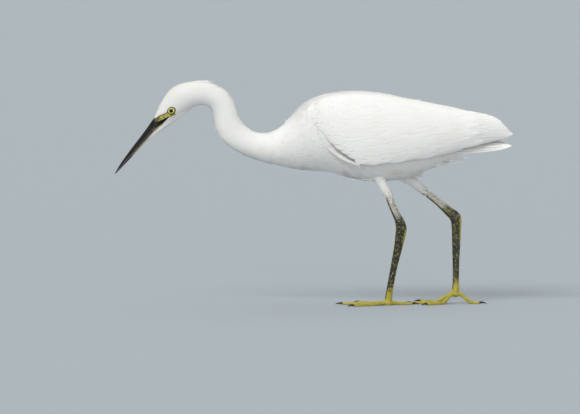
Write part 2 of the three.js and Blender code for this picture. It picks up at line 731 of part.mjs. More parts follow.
function clawSolid(rows, side, toe, floor) {
  const end = toePath(rows, side, toe, 1);
  const way = end.clone().sub(toePath(rows, side, toe, 0.96)).setZ(0).normalize();
  const path = (s) =>
    end.clone().addScaledVector(way, 1.5 * GAP + CLAW_LENGTH * s).add(vec(0, 0, 0.6 + 1.6 * s - 2.9 * s * s));
  const rings = ringsOnPath(path, (s) => mix(1.45, 0.25, s ** 1.3), [0, 0.35, 0.7, 1], 5);
  return largest(loft(rings).subtract(floor));
}

// Assembly

const finish = (color, roughness) => new THREE.MeshStandardMaterial({ color, roughness, metalness: 0 });
const PLUMAGE = finish(0xf3f2ec, 0.75);
const BLACK_HORN = finish(0x1b1d1c, 0.35);
const PALE_HORN = finish(0x4a443a, 0.4);
const EYE = finish(0xe8dc7a, 0.1);
const LEG_SKIN = finish(0x4b4a34, 0.55);
const YELLOW_SKIN = finish(0xc9b83c, 0.55);

const bird = new THREE.Group();

function addNode(name, solid, material) {
  const mesh = solid.getMesh();
  const geometry = new THREE.BufferGeometry();
  geometry.setAttribute("position", new THREE.BufferAttribute(new Float32Array(mesh.vertProperties), 3));
  geometry.setIndex(new THREE.BufferAttribute(new Uint32Array(mesh.triVerts), 1));
  geometry.computeVertexNormals();
  const node = new THREE.Mesh(geometry, material);
  node.name = name;
  bird.add(node);
}

const torsoClear = torsoSolid(GAP);
const floor = underfloor();

addNode("head", headSolid(), PLUMAGE);
const billCut = behindBill(-GAP / 2);
addNode("bill_upper", largest(billHalf(true).subtract(join([billCut, nostril(-1), nostril(1)]))), BLACK_HORN);
addNode("bill_lower", largest(billHalf(false).subtract(billCut)), PALE_HORN);
const neckStops = [NECK_START, ...NECK_SPLITS, TORSO_START];
["neck_upper", "neck_middle", "neck_lower"].forEach((name, i) =>
  addNode(name, loft(bodyLength(neckStops[i], neckStops[i + 1], 6)), PLUMAGE));

for (const [name, side, rows] of [["left", -1, LEFT_LEG], ["right", 1, RIGHT_LEG]]) {
  addNode(`eye_${name}`, ball(EYE_RADIUS, eyeCentre(side)), EYE);
  addNode(`wing_${name}`, wingSolid(side, torsoClear), PLUMAGE);
  addNode(`thigh_${name}`, largest(legLength(rows, side, 0, THIGH_END, 6).subtract(torsoClear)), PLUMAGE);
  addNode(`tibia_${name}`, legLength(rows, side, THIGH_END, TIBIA_END, 9), LEG_SKIN);
  const tarsus = legLength(rows, side, TIBIA_END, rows.length - 1, 10);
  addNode(`tarsus_${name}`, tarsus, LEG_SKIN);
  const pressed = tarsus.translate([0, 0, -GAP]);
  addNode(`foot_${name}`, footSolid(rows, side, [floor, tarsus, pressed]), YELLOW_SKIN);
  for (const toe of TOES) {
    addNode(`toe_${toe[0]}_${name}`, toeSolid(rows, side, toe, floor), YELLOW_SKIN);
    addNode(`claw_${toe[0]}_${name}`, clawSolid(rows, side, toe, floor), BLACK_HORN);
  }
}

addNode("torso", largest(join([torsoSolid(0), ...mantle(), ...bib(), ...vent()])), PLUMAGE);
addNode("tail", tailSolid(torsoClear), PLUMAGE);

// The origin is on the floor, under the middle of the bird's box
const extent = new THREE.Box3().setFromObject(bird);
bird.position.set(-(extent.min.x + extent.max.x) / 2, -(extent.min.y + extent.max.y) / 2, -extent.min.z);
const model = new THREE.Group();
model.add(bird);

export default model;
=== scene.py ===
"""A life-size little egret, wading: white plumage laid feather by feather over one skin."""
from functools import partial
import json
import math

import bpy
import numpy as np
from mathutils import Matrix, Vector

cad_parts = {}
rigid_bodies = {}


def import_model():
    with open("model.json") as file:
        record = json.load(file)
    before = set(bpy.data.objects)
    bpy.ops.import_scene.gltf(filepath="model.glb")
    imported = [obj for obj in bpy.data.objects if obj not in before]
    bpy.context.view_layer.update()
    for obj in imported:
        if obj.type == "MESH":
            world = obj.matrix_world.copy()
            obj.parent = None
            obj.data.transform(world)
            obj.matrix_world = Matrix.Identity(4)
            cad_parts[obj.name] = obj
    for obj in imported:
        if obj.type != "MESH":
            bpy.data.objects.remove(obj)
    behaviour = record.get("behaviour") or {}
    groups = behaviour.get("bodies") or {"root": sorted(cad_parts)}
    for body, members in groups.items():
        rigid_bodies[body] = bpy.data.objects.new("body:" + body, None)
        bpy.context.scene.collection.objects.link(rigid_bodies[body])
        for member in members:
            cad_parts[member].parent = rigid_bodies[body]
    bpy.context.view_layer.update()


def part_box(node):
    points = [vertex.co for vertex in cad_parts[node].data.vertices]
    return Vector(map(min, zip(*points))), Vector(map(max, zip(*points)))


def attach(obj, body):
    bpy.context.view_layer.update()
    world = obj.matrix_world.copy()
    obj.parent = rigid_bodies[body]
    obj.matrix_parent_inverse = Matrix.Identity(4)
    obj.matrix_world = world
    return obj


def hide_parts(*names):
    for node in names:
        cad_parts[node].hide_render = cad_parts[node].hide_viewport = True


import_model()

MM = 0.001

# The ribs of head, neck and torso, in mm. Each crosses the body from its back line to its throat or belly:
# back x, back z, belly x, belly z, half width
RIBS = np.array([
    [-202.3, 237.7, -191.8, 223.1, 5.2],  # 0 root of the bill
    [-198.1, 247.9, -184.8, 228.6, 8.0],
    [-193.0, 258.4, -176.5, 234.4, 10.8],  # 2 forehead
    [-186.1, 269.2, -168.9, 240.8, 12.6],
    [-177.2, 277.4, -161.3, 246.4, 13.3],  # 4 crown
    [-166.4, 281.9, -153.7, 251.1, 13.0],
    [-154.3, 283.8, -146.1, 253.6, 12.3],  # 6 nape
    [-141.6, 284.2, -139.7, 254.4, 11.8],
    [-128.7, 282.1, -134.0, 252.7, 11.5],  # 8 top bend of the neck
    [-117.1, 276.9, -129.8, 249.2, 11.5],
    [-107.3, 268.9, -127.4, 244.1, 11.6],
    [-101.0, 258.4, -126.4, 237.5, 11.9],
    [-97.4, 247.0, -125.7, 228.9, 12.2],  # 12 middle of the neck
    [-93.0, 235.2, -122.6, 218.7, 12.6],
    [-83.8, 225.3, -114.3, 207.8, 13.2],
    [-72.4, 218.9, -101.0, 197.7, 14.2],
    [-59.1, 217.9, -81.9, 187.7, 16.0],  # 16 lower bend of the neck
    [-46.4, 222.8, -60.3, 180.8, 19.0],
    [-35.6, 231.4, -38.7, 176.3, 23.5],  # 18 base of the neck
    [-26.0, 243.2, -19.7, 172.2, 28.5],
    [-15.9, 254.0, -3.2, 170.9, 33.0],  # 20 shoulders
    [-1.9, 262.6, 13.3, 170.2, 36.5],
    [15.9, 268.5, 29.8, 166.9, 39.0],
    [37.5, 271.5, 47.6, 161.0, 40.5],
    [59.1, 272.0, 67.9, 157.7, 40.5],  # 24 deepest part of the body
    [81.9, 270.0, 90.8, 157.7, 39.5],
    [106.0, 265.5, 112.4, 159.6, 37.0],
    [127.6, 259.5, 130.2, 164.7, 33.0],
    [146.7, 252.5, 148.0, 173.4, 27.5],
    [160.0, 245.0, 162.5, 178.4, 20.5],
    [169.0, 234.0, 171.5, 183.9, 13.5],  # 30 rump
])
LAST_RIB = len(RIBS) - 1
TORSO_START = 17.3  # the rib from which the section is broader above its middle than below
BROAD_ABOVE = 0.06

# The folded wing seen from the side, from its bend to its tip, in mm.
# x, top z, bottom z, y of the top edge, y of the widest line
WING = np.array([
    [-9.5, 250.0, 228.0, 22.5, 29.0],
    [3.2, 260.5, 214.6, 20.0, 37.0],
    [21.0, 266.5, 198.8, 17.5, 42.5],
    [40.0, 269.0, 186.1, 15.5, 45.5],
    [59.1, 269.5, 181.0, 14.0, 46.5],
    [84.5, 268.0, 182.2, 12.0, 46.0],
    [109.9, 263.9, 185.7, 10.0, 43.0],
    [135.3, 258.4, 190.1, 7.5, 38.5],
    [160.7, 252.6, 194.8, 5.5, 32.5],
    [186.1, 248.0, 200.7, 4.5, 26.5],
    [211.5, 245.2, 206.0, 4.0, 22.0],
    [230.5, 241.5, 208.5, 4.0, 18.5],
    [243.2, 237.0, 209.5, 4.0, 16.0],
    [256.0, 231.0, 210.5, 4.0, 14.0],
])
WING_SWEEP = math.radians(122)  # how far the outside of the wing turns from its top edge to its bottom edge

# Legs from the body down, in mm: x, y outwards from the middle of the body, z, half thickness fore and aft,
# half thickness sideways
LEGS = {
    "left": np.array([
        [76.8, 24.0, 174.0, 13.0, 9.0],  # 0 inside the belly
        [86.4, 22.5, 157.5, 6.9, 6.3],
        [92.7, 21.0, 144.8, 5.0, 4.8],  # 2 end of the thigh's feathers
        [102.2, 18.3, 121.9, 4.7, 4.2],
        [108.6, 16.5, 108.6, 5.8, 4.9],
        [111.1, 15.3, 98.4, 6.9, 5.4],  # 5 ankle
        [109.9, 14.6, 87.6, 6.5, 4.9],
        [107.7, 13.2, 74.9, 5.5, 4.2],
        [102.2, 10.8, 49.5, 4.3, 3.6],
        [97.2, 7.9, 21.6, 4.2, 3.8],
        [95.2, 6.5, 7.0, 4.9, 4.8],  # 10 knuckle over the toes
    ]),
    "right": np.array([
        [107.3, 24.0, 171.5, 13.0, 9.0],
        [123.8, 23.0, 158.1, 8.0, 7.0],
        [136.5, 22.0, 147.3, 5.0, 4.8],
        [156.8, 20.0, 131.4, 4.7, 4.2],
        [172.1, 18.5, 118.1, 5.9, 5.0],
        [180.7, 17.5, 109.9, 7.2, 5.6],
        [182.2, 17.0, 97.8, 6.2, 4.9],
        [182.0, 16.5, 78.7, 5.4, 4.2],
        [181.7, 15.5, 54.6, 4.4, 3.6],
        [181.6, 14.5, 30.0, 4.2, 3.8],
        [181.4, 14.0, 17.5, 4.9, 4.8],
    ]),
}
SIDES = {"left": -1, "right": 1}
THIGH_END = 2.0  # the row of a leg where its bare skin starts
# The feathered thighs, from inside the body's side to the shank, in mm like the legs
THIGHS = {
    "left": np.array([
        [60.0, 7.0, 196.0, 19.0, 9.0],
        [70.5, 8.5, 181.0, 14.5, 7.5],
        [80.0, 11.0, 166.5, 9.2, 5.8],
        [86.6, 16.4, 156.0, 6.6, 5.6],
        [92.9, 20.4, 143.5, 5.9, 5.4],
        [98.6, 19.3, 130.6, 4.6, 4.2],
    ]),
    "right": np.array([
        [84.0, 13.0, 196.0, 21.0, 12.0],
        [99.0, 17.0, 179.5, 17.5, 11.0],
        [113.5, 20.5, 166.0, 11.5, 8.6],
        [126.0, 21.9, 156.3, 7.6, 6.4],
        [137.5, 21.9, 146.5, 5.9, 5.4],
        [150.0, 20.7, 136.5, 4.7, 4.3],
    ]),
}
# Toes: name, heading from straight ahead in degrees with inward positive, length without the claw in mm
TOES = [("inner", 34, 44), ("middle", 6, 58), ("outer", -27, 49), ("hind", 172, 31)]
TOE_RADIUS = 2.7
TOE_END_RADIUS = 1.8
CLAW_LENGTH = 10.0

EYE_RADIUS = 5.9
EYE_CENTRE = np.array([-180.0, 7.1, 247.4])

# The model's own origin is under the middle of its box, so everything moves by what the left eye tells
eye_low, eye_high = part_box("eye_left")
SHIFT = np.array((eye_low + eye_high) / 2) - EYE_CENTRE * [MM, -MM, MM]


# Curves and surfaces

def along(rows, u):
    """The rows of a table joined by smooth curves. u counts rows and may be an array."""
    last = len(rows) - 1
    u = np.clip(np.asarray(u, float), 0, last)
    i = np.minimum(u.astype(int), last - 1)
    t = (u - i)[..., None]
    a, b, c, d = (rows[np.clip(i + k, 0, last)] for k in (-1, 0, 1, 2))
    slope_in, slope_out, rise = (c - a) / 2, (d - b) / 2, c - b
    cubic = slope_in + slope_out - 2 * rise
    return b + t * (slope_in + t * (3 * rise - 2 * slope_in - slope_out + t * cubic))


def unit(v):
    return v / np.maximum(np.linalg.norm(v, axis=-1, keepdims=True), 1e-12)


def smooth(x, low, high):
    t = np.clip((np.asarray(x, float) - low) / (high - low), 0, 1)
    return t * t * (3 - 2 * t)


def full_turn(count):
    """Angles of so many stops once round, from 0."""
    return np.linspace(0, 2 * math.pi, count, endpoint=False)


def rings_round(middle, across, over, wide, high, sides):
    """Rings round a line of points, with half widths wide along across and high along over."""
    turn = full_turn(sides)[None, :, None]
    return (middle[:, None] + across[:, None] * (np.cos(turn) * wide[:, None, None])
            + over[:, None] * (np.sin(turn) * high[:, None, None]))


def body_point(u, turn):
    """The outside of the plumage at rib u, turn radians round from the back line, in mm."""
    u, turn = np.broadcast_arrays(np.asarray(u, float), turn)
    row = along(RIBS, u)
    back, belly, half = row[..., 0:2], row[..., 2:4], row[..., 4]
    middle, up = (back + belly) / 2, (back - belly) / 2
    broad_above = np.where(u > TORSO_START, BROAD_ABOVE, 0.0)
    flat = middle + up * np.cos(turn)[..., None]
    y = np.sin(turn) * half * (1 + broad_above * np.cos(turn))
    return np.stack([flat[..., 0], y, flat[..., 1]], -1)


def wing_row(x):
    """The wing's table at x, which may be an array."""
    x = np.clip(x, WING[0, 0], WING[-1, 0])
    u = np.interp(x, WING[:, 0], np.arange(len(WING)))
    return along(WING, u)


def wing_point(side, x, v):
    """The outside of the wing: x along it, v from its top edge to its bottom edge, in mm."""
    x, v = np.broadcast_arrays(np.asarray(x, float), v)
    row = wing_row(x)
    turn = np.maximum(v, 0) * WING_SWEEP
    fall = (1 - np.cos(turn)) / (1 - math.cos(WING_SWEEP))
    y = side * (row[..., 3] + (row[..., 4] - row[..., 3]) * np.sin(turn))
    return np.stack([x, y, row[..., 1] - (row[..., 1] - row[..., 2]) * fall], -1)


def wing_across(x, z):
    """The v at which the outside of the wing has the height z."""
    row = wing_row(x)
    fall = np.clip((row[..., 1] - z) / (row[..., 1] - row[..., 2]), 0, 1)
    return np.arccos(1 - fall * (1 - math.cos(WING_SWEEP))) / WING_SWEEP


def surface_frame(surface, a, b, step=0.02):
    """Point of a surface at a, b, the normal there, of either sign, and mm per unit of a."""
    p = surface(a, b)
    da = (surface(a + step, b) - surface(a - step, b)) / (2 * step)
    db = (surface(a, b + step) - surface(a, b - step)) / (2 * step)
    return p, unit(np.cross(da, db)), np.linalg.norm(da, axis=-1)


def body_frame(u, turn):
    """Point of the outside of the body, the way it faces, and mm per rib."""
    p, normal, per_u = surface_frame(body_point, u, turn)
    row = along(RIBS, u)
    middle = (row[..., 0:2] + row[..., 2:4]) / 2
    outward = p - np.stack([middle[..., 0], np.zeros_like(middle[..., 0]), middle[..., 1]], -1)
    return p, normal * np.sign(np.sum(outward * normal, -1, keepdims=True)), per_u


def wing_frame(side, x, v):
    """Point of the outside of the wing and the way it faces."""
    p, normal, _ = surface_frame(lambda a, b: wing_point(side, a, b), x, v)
    return p, normal * np.sign(normal[..., 1:2] * side)


def rib_place(x, z, first=-0.8, last=10, tried=2000):
    """The rib, and the turn from the back line, of the point of the body's side seen at x, z."""
    ribs = np.linspace(first, last, tried)
    row = along(RIBS, ribs)
    beyond = np.minimum(ribs, 0)[:, None]
    row[:, :4] += beyond * (RIBS[1] - RIBS[0])[None, :4]
    back, belly = row[:, 0:2], row[:, 2:4]
    seen = np.stack([x, z], -1)[..., None, :]
    line = back - belly
    cross = line[:, 0] * (seen - belly)[..., 1] - line[:, 1] * (seen - belly)[..., 0]
    best = np.argmin(np.abs(cross), axis=-1)
    middle = (back + belly)[best] / 2
    up = line[best] / 2
    cosine = np.sum((seen[..., 0, :] - middle) * up, -1) / np.sum(up * up, -1)
    return ribs[best], np.arccos(np.clip(cosine, -1, 1))


def torso_side(side, x, z):
    """The point of the torso's side seen at x, z, and the way it faces."""
    p, normal, _ = body_frame(*rib_place(x, z, 16.5, LAST_RIB))
    return p * [1, side, 1], normal * [1, side, 1]


def head_side(side, x, z, out=0.0):
    """The point of the head's side seen at x, z, moved out by some mm."""
    x, z = np.asarray(x, float), np.asarray(z, float)
    u, turn = rib_place(x, z)
    p, normal, _ = body_frame(np.maximum(u, 0), turn)
    p = np.stack([x, p[..., 1], z], -1) + normal * np.asarray(out)[..., None]
    return p * [1, side, 1]


# Meshes

def with_map(mesh, name, uv):
    """Gives the mesh a UV map from one place for each of its points."""
    corners = np.empty(len(mesh.loops), int)
    mesh.loops.foreach_get("vertex_index", corners)
    layer = mesh.uv_layers.new(name=name)
    layer.uv.foreach_set("vector", np.ascontiguousarray(uv[corners], np.float32).ravel())
    return mesh


def mark(mesh, name, values):
    """Gives each point of the mesh a number for its material to read."""
    layer = mesh.attributes.new(name, "FLOAT", "POINT")
    layer.data.foreach_set("value", np.ascontiguousarray(values, np.float32))


SOFTEN = 0.6  # how far a feather is shaded as the surface that it lies on, as barbs let light through
PATCH = 0.003  # breadth of each feather's patch in the OFBake map


class Shells:
    """Closed shells gathered into one mesh. Each is turned so that its faces point outwards."""

    def __init__(self, *parts):
        self.points, self.faces, self.uv, self.facings, self.homes, self.count = [], [], [], [], [], 0
        for points, faces in parts:
            self.add(points, faces)

    def add(self, points, faces, uv=None, facings=None, home=None):
        tris = np.array([(f[0], f[i], f[i + 1]) for f in faces for i in range(1, len(f) - 1)])
        a, b, c = (points[tris[:, k]] for k in range(3))
        if np.sum(a * np.cross(b, c)) < 0:
            faces = [tuple(reversed(f)) for f in faces]
        self.points.append(points)
        self.uv.append(np.zeros((len(points), 2)) if uv is None else uv)
        self.facings.append(np.zeros((len(points), 3)) if facings is None else facings)
        self.homes.append(self.uv[-1] if home is None else np.array(home) + (self.uv[-1] - 0.5) * PATCH)
        self.faces += [tuple(i + self.count for i in f) for f in faces]
        self.count += len(points)

    def mesh(self, name):
        mesh = bpy.data.meshes.new(name)
        mesh.from_pydata((np.concatenate(self.points) * MM + SHIFT).tolist(), [], self.faces)
        mesh.shade_smooth()
        facings = np.concatenate(self.facings)
        if facings.any():
            own = np.array([n.vector[:] for n in mesh.vertex_normals])
            given = np.linalg.norm(facings, axis=1) > 0
            blend = np.where(given[:, None], unit(own * (1 - SOFTEN) + facings * SOFTEN), own)
            mesh.normals_split_custom_set_from_vertices(blend.tolist())
        with_map(mesh, "vane", np.concatenate(self.uv))
        return with_map(mesh, "OFBake", np.concatenate(self.homes))

    def piece(self, name, finish, slot="plumage", replaced=()):
        piece(name, self.mesh(name), finish, replaced)


def loft(rings):
    """Points and faces of rings skinned one to the next, with a fan over each end."""
    count, sides = rings.shape[:2]
    points = np.concatenate([rings.reshape(-1, 3), rings[:1].mean(1), rings[-1:].mean(1)])
    first, end = count * sides, count * sides + 1
    faces = []
    for i in range(count - 1):
        for j in range(sides):
            k = (j + 1) % sides
            faces.append((i * sides + j, i * sides + k, (i + 1) * sides + k, (i + 1) * sides + j))
    last = (count - 1) * sides
    for j in range(sides):
        k = (j + 1) % sides
        faces.append((first, k, j))
        faces.append((end, last + j, last + k))
    return points, faces


def plate(top, under):
    """Points and faces of two grids closed along their edges."""
    rows, columns = top.shape[:2]
    points = np.concatenate([top.reshape(-1, 3), under.reshape(-1, 3)])
    size = rows * columns
    faces = []
    for i in range(rows - 1):
        for j in range(columns - 1):
            a, b = i * columns + j, (i + 1) * columns + j
            c, d = b + 1, a + 1
            faces += [(a, b, c, d), (d + size, c + size, b + size, a + size)]
    rim = [i * columns for i in range(rows)]
    rim += [(rows - 1) * columns + j for j in range(1, columns)]
    rim += [i * columns + columns - 1 for i in range(rows - 2, -1, -1)]
    rim += [j for j in range(columns - 2, 0, -1)]
    for a, b in zip(rim, rim[1:] + rim[:1]):
        faces.append((b, a, a + size, b + size))
    return points, faces


def piece(name, mesh, finish, replaced=()):
    """A finished piece of the bird, which takes the place of the nodes named in replaced."""
    obj = bpy.data.objects.new(name, mesh)
    bpy.context.scene.collection.objects.link(obj)
    if finish is not None:
        mesh.materials.clear()
        mesh.materials.append(finish)
    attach(obj, "root")
    if replaced:
        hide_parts(*replaced)


def evaluated(mesh, prepare):
    """The mesh after the modifiers that prepare adds to an object of it."""
    obj = bpy.data.objects.new("shaping", mesh)
    bpy.context.scene.collection.objects.link(obj)
    prepare(obj)
    graph = bpy.context.evaluated_depsgraph_get()
    result = bpy.data.meshes.new_from_object(
        obj.evaluated_get(graph), preserve_all_data_layers=True, depsgraph=graph)
    bpy.data.objects.remove(obj)
    bpy.data.meshes.remove(mesh)
    return result


def coordinates(mesh):
    flat = np.empty(len(mesh.vertices) * 3)
    mesh.vertices.foreach_get("co", flat)
    return flat.reshape(-1, 3)


# Materials

def feed(tree, socket, value):
    """Sets a socket to a value, or joins it to another socket."""
    if isinstance(value, bpy.types.NodeSocket):
        tree.links.new(value, socket)
    else:
        socket.default_value = value


def add_node(tree, kind, inputs=(), **settings):
    """A new node of the tree, with its settings, and with inputs fed by name or number."""
    node = tree.nodes.new(kind)
    for key, value in settings.items():
        setattr(node, key, value)
    for key, value in dict(inputs).items():
        feed(tree, node.inputs[key], value)
    return node


class Nodes:
    """A material's node tree, with short ways to add and join its nodes."""

    def __init__(self, name):
        self.material = bpy.data.materials.new(name)
        self.material.use_nodes = True
        self.tree = self.material.node_tree
        self.surface = self.tree.nodes["Principled BSDF"]

    def add(self, kind, inputs=(), **settings):
        return add_node(self.tree, kind, inputs, **settings)

    def set(self, **values):
        for key, value in values.items():
            feed(self.tree, self.surface.inputs[key.replace("_", " ")], value)

    def place(self, location=(0, 0, 0), scale=(1, 1, 1)):
        at = self.add("ShaderNodeTexCoord").outputs["Object"]
        return self.add("ShaderNodeMapping", {
            "Vector": at, "Location": location, "Scale": scale}).outputs["Vector"]

    def noise(self, vector, scale, detail=3.0, rough=0.5):
        return self.add("ShaderNodeTexNoise", {
            "Vector": vector, "Scale": scale, "Detail": detail, "Roughness": rough}).outputs["Fac"]

    def ramp(self, value, low, high, start=0.0, end=1.0):
        return self.add("ShaderNodeMapRange", {
            "Value": value, "From Min": low, "From Max": high, "To Min": start, "To Max": end},
            interpolation_type="SMOOTHSTEP").outputs["Result"]

    def math(self, operation, a, b=0.0):
        return self.add("ShaderNodeMath", {0: a, 1: b}, operation=operation).outputs["Value"]

    def times(self, a, b):
        return self.math("MULTIPLY", a, b)

    def mix(self, share, a, b, blend="MIX"):
        node = self.add("ShaderNodeMix", {0: share, 6: a, 7: b}, data_type="RGBA", blend_type=blend)
        return node.outputs[2]

    def bump(self, height, strength, distance, normal=None):
        inputs = {"Height": height, "Strength": strength, "Distance": distance}
        if normal is not None:
            inputs["Normal"] = normal
        return self.add("ShaderNodeBump", inputs).outputs["Normal"]

    def attribute(self, name):
        return self.add("ShaderNodeAttribute", attribute_name=name).outputs["Fac"]


def rgb(r, g, b):
    return (r, g, b, 1.0)


WHITE = rgb(0.86, 0.855, 0.835)
CREAM = rgb(0.80, 0.74, 0.60)
TAN = rgb(0.62, 0.52, 0.38)
# Painted shade: a greyed white laid into folds, the hollow in front of the wing and the lower thighs
SHADE = rgb(0.46, 0.43, 0.36)


def spot(nodes, centre, reach):
    """1 at a place of the bird, given in mm, falling to 0 an ellipsoid of these mm away from it."""
    scale = [1 / (r * MM) for r in reach]
    middle = (np.array(centre) * MM + SHIFT) * scale
    at = nodes.place(location=[-m for m in middle], scale=scale)
    length = nodes.add("ShaderNodeVectorMath", {0: at}, operation="LENGTH").outputs["Value"]
    return nodes.ramp(length, 1.0, 0.0)


# Where white plumage is warmer or stained, and where shade is painted into it: middle and reach in mm, share,
# colour
STAINS_AND_PAINTED_SHADE = [
    ((160, 0, 222), (45, 60, 30), 0.35, CREAM),  # rump and the ends of the secondaries
    ((120, 0, 184), (70, 60, 14), 0.30, CREAM),  # lower edge of the wing
    ((112, 0, 170), (22, 300, 7), 0.6, TAN),  # belly behind the thighs
    ((-190, 0, 236), (10, 14, 9), 0.35, CREAM),  # cheek by the gape
    ((236, 0, 204), (16, 20, 10), 0.30, TAN),  # tip of the tail
    ((40, 0, 167), (24, 300, 7), 0.6, SHADE),  # painted shade in the fold between breast and belly
    ((-10, 0, 176), (12, 300, 5), 0.6, SHADE),
    ((20, 0, 204), (6, 60, 5), 0.9, SHADE),  # painted shade in the hollow in front of the wing
    ((29, 0, 197), (7, 60, 5), 0.9, SHADE),
    ((39, 0, 189.5), (8, 60, 4), 0.8, SHADE),
    ((92, 0, 147), (12, 300, 16), 0.8, SHADE),  # painted shade on the lower ends of the thighs
    ((138, 0, 147), (18, 300, 12), 0.45, SHADE),
]
CREAM_SHARE = 0.16
BARB_COUNT = 46.0  # barbs drawn along one side of a long feather
BARB_LEAN = -14.0  # how many barbs further on a barb ends than it starts, for the whole width
SHAFT_HALF_WIDTH = 0.035  # as a share of the feather's width
SHAFT_SHARE = 0.35


def plumage(name, barbs, stained_and_shaded=True):
    """White feather, faintly cream, warmer along the lower wing and stained at the belly, with shade painted
    into the fold of the breast, the hollow in front of the wing and the lower thighs.
    """
    nodes = Nodes(name)
    at = nodes.place()
    patchy = nodes.ramp(nodes.noise(at, 55.0, 4.0), 0.35, 0.7)
    colour = nodes.mix(nodes.times(patchy, CREAM_SHARE), WHITE, CREAM)
    # Mixes in the cream and tan stains and the painted shade, each broken up by the patchy noise
    for centre, reach, share, stain_and_shade_colour in STAINS_AND_PAINTED_SHADE if stained_and_shaded else ():
        near = nodes.times(spot(nodes, centre, reach), nodes.times(patchy, share))
        colour = nodes.mix(near, colour, stain_and_shade_colour)
    height = nodes.noise(at, 900.0, 2.0)
    normal = nodes.bump(height, 0.25, 0.2 * MM)
    if barbs:
        uv = nodes.add("ShaderNodeUVMap", uv_map="vane").outputs["UV"]
        parts = nodes.add("ShaderNodeSeparateXYZ", {"Vector": uv})
        across = nodes.math("ABSOLUTE", nodes.math("SUBTRACT", parts.outputs["X"], 0.5))
        slant = nodes.math("ADD", nodes.times(parts.outputs["Y"], BARB_COUNT), nodes.times(across, BARB_LEAN))
        ripple = nodes.math("SINE", nodes.times(slant, 2 * math.pi))
        normal = nodes.bump(ripple, 0.22, 0.12 * MM, normal)
        shaft = nodes.ramp(across, SHAFT_HALF_WIDTH, 0.0)
        colour = nodes.mix(nodes.times(shaft, SHAFT_SHARE), colour, CREAM)
    nodes.set(Base_Color=colour, Roughness=0.62, Normal=normal, Specular_IOR_Level=0.3,
              Sheen_Weight=0.35, Sheen_Roughness=0.4, Sheen_Tint=rgb(1, 1, 1),
              Subsurface_Weight=0.10, Subsurface_Scale=2 * MM, Subsurface_Radius=(1.0, 1.0, 1.0))
    return nodes.material


def horn(name, dark, pale, share):
    """Bill or claw horn: glossy, finely streaked, and paler by this share where its attribute says."""
    nodes = Nodes(name)
    at = nodes.place()
    fine = nodes.noise(at, 420.0, 5.0, 0.6)
    broad = nodes.noise(at, 90.0, 3.0)
    colour = nodes.mix(nodes.ramp(broad, 0.3, 0.75, 0.0, 0.5), dark, rgb(0.02, 0.019, 0.016))
    strip = nodes.ramp(nodes.attribute("pale"), 0.25, 0.8)
    strip = nodes.times(strip, nodes.ramp(broad, 0.15, 0.5, 0.65, 1.0))
    colour = nodes.mix(nodes.times(strip, share), colour, pale)
    normal = nodes.bump(fine, 0.3, 0.2 * MM)
    rough = nodes.ramp(fine, 0.3, 0.7, 0.2, 0.36)
    nodes.set(Base_Color=colour, Roughness=rough, Normal=normal, Specular_IOR_Level=0.2, Coat_Weight=0.06,
              Coat_Roughness=0.12)
    return nodes.material


def scaled_skin(name, main, blotch, fleck, scales, share, blotches=140.0, marks=()):
    """Bare skin, a little wet, darker between its scales. scales and blotches are their numbers to the metre.

    Each mark is an attribute, with the two colours that the skin takes where it is 1.
    """
    nodes = Nodes(name)
    at = nodes.place()
    cells = nodes.add("ShaderNodeTexVoronoi", {"Vector": at, "Scale": scales, "Randomness": 0.85},
                      feature="DISTANCE_TO_EDGE").outputs["Distance"]
    groove = nodes.ramp(cells, 0.0, 0.09)
    wide = nodes.noise(at, blotches, 4.0, 0.6)
    small = nodes.noise(at, blotches * 6, 3.0)
    middling = nodes.noise(at, blotches * 2.2, 4.0, 0.6)
    colour = nodes.mix(nodes.ramp(wide, 0.62 - share * 0.35, 0.74 - share * 0.25), main, blotch)
    colour = nodes.mix(nodes.ramp(middling, 0.54, 0.66, 0.0, 0.75), colour, fleck)
    for key, marked, freckle in marks:
        own = nodes.mix(nodes.ramp(middling, 0.48, 0.62, 0.0, 0.75), marked, freckle)
        strength = nodes.math("ADD", nodes.attribute(key), nodes.times(middling, 1.5))
        colour = nodes.mix(nodes.ramp(strength, 0.95, 1.6), colour, own)
    colour = nodes.mix(nodes.ramp(groove, 0.0, 1.0, 0.6, 0.0), colour, rgb(0.2, 0.2, 0.2), "MULTIPLY")
    normal = nodes.bump(groove, 0.55, 0.3 * MM)
    normal = nodes.bump(small, 0.3, 0.2 * MM, normal)
    nodes.set(Base_Color=colour, Roughness=nodes.ramp(wide, 0.3, 0.7, 0.3, 0.5), Normal=normal,
              Specular_IOR_Level=0.3, Coat_Weight=0.25, Coat_Roughness=0.15)
    return nodes.material


PUPIL_RADIUS = 2.5
IRIS_RADIUS = 4.5
EYE_TURN = 0.04  # how far the eye looks ahead, as a slope


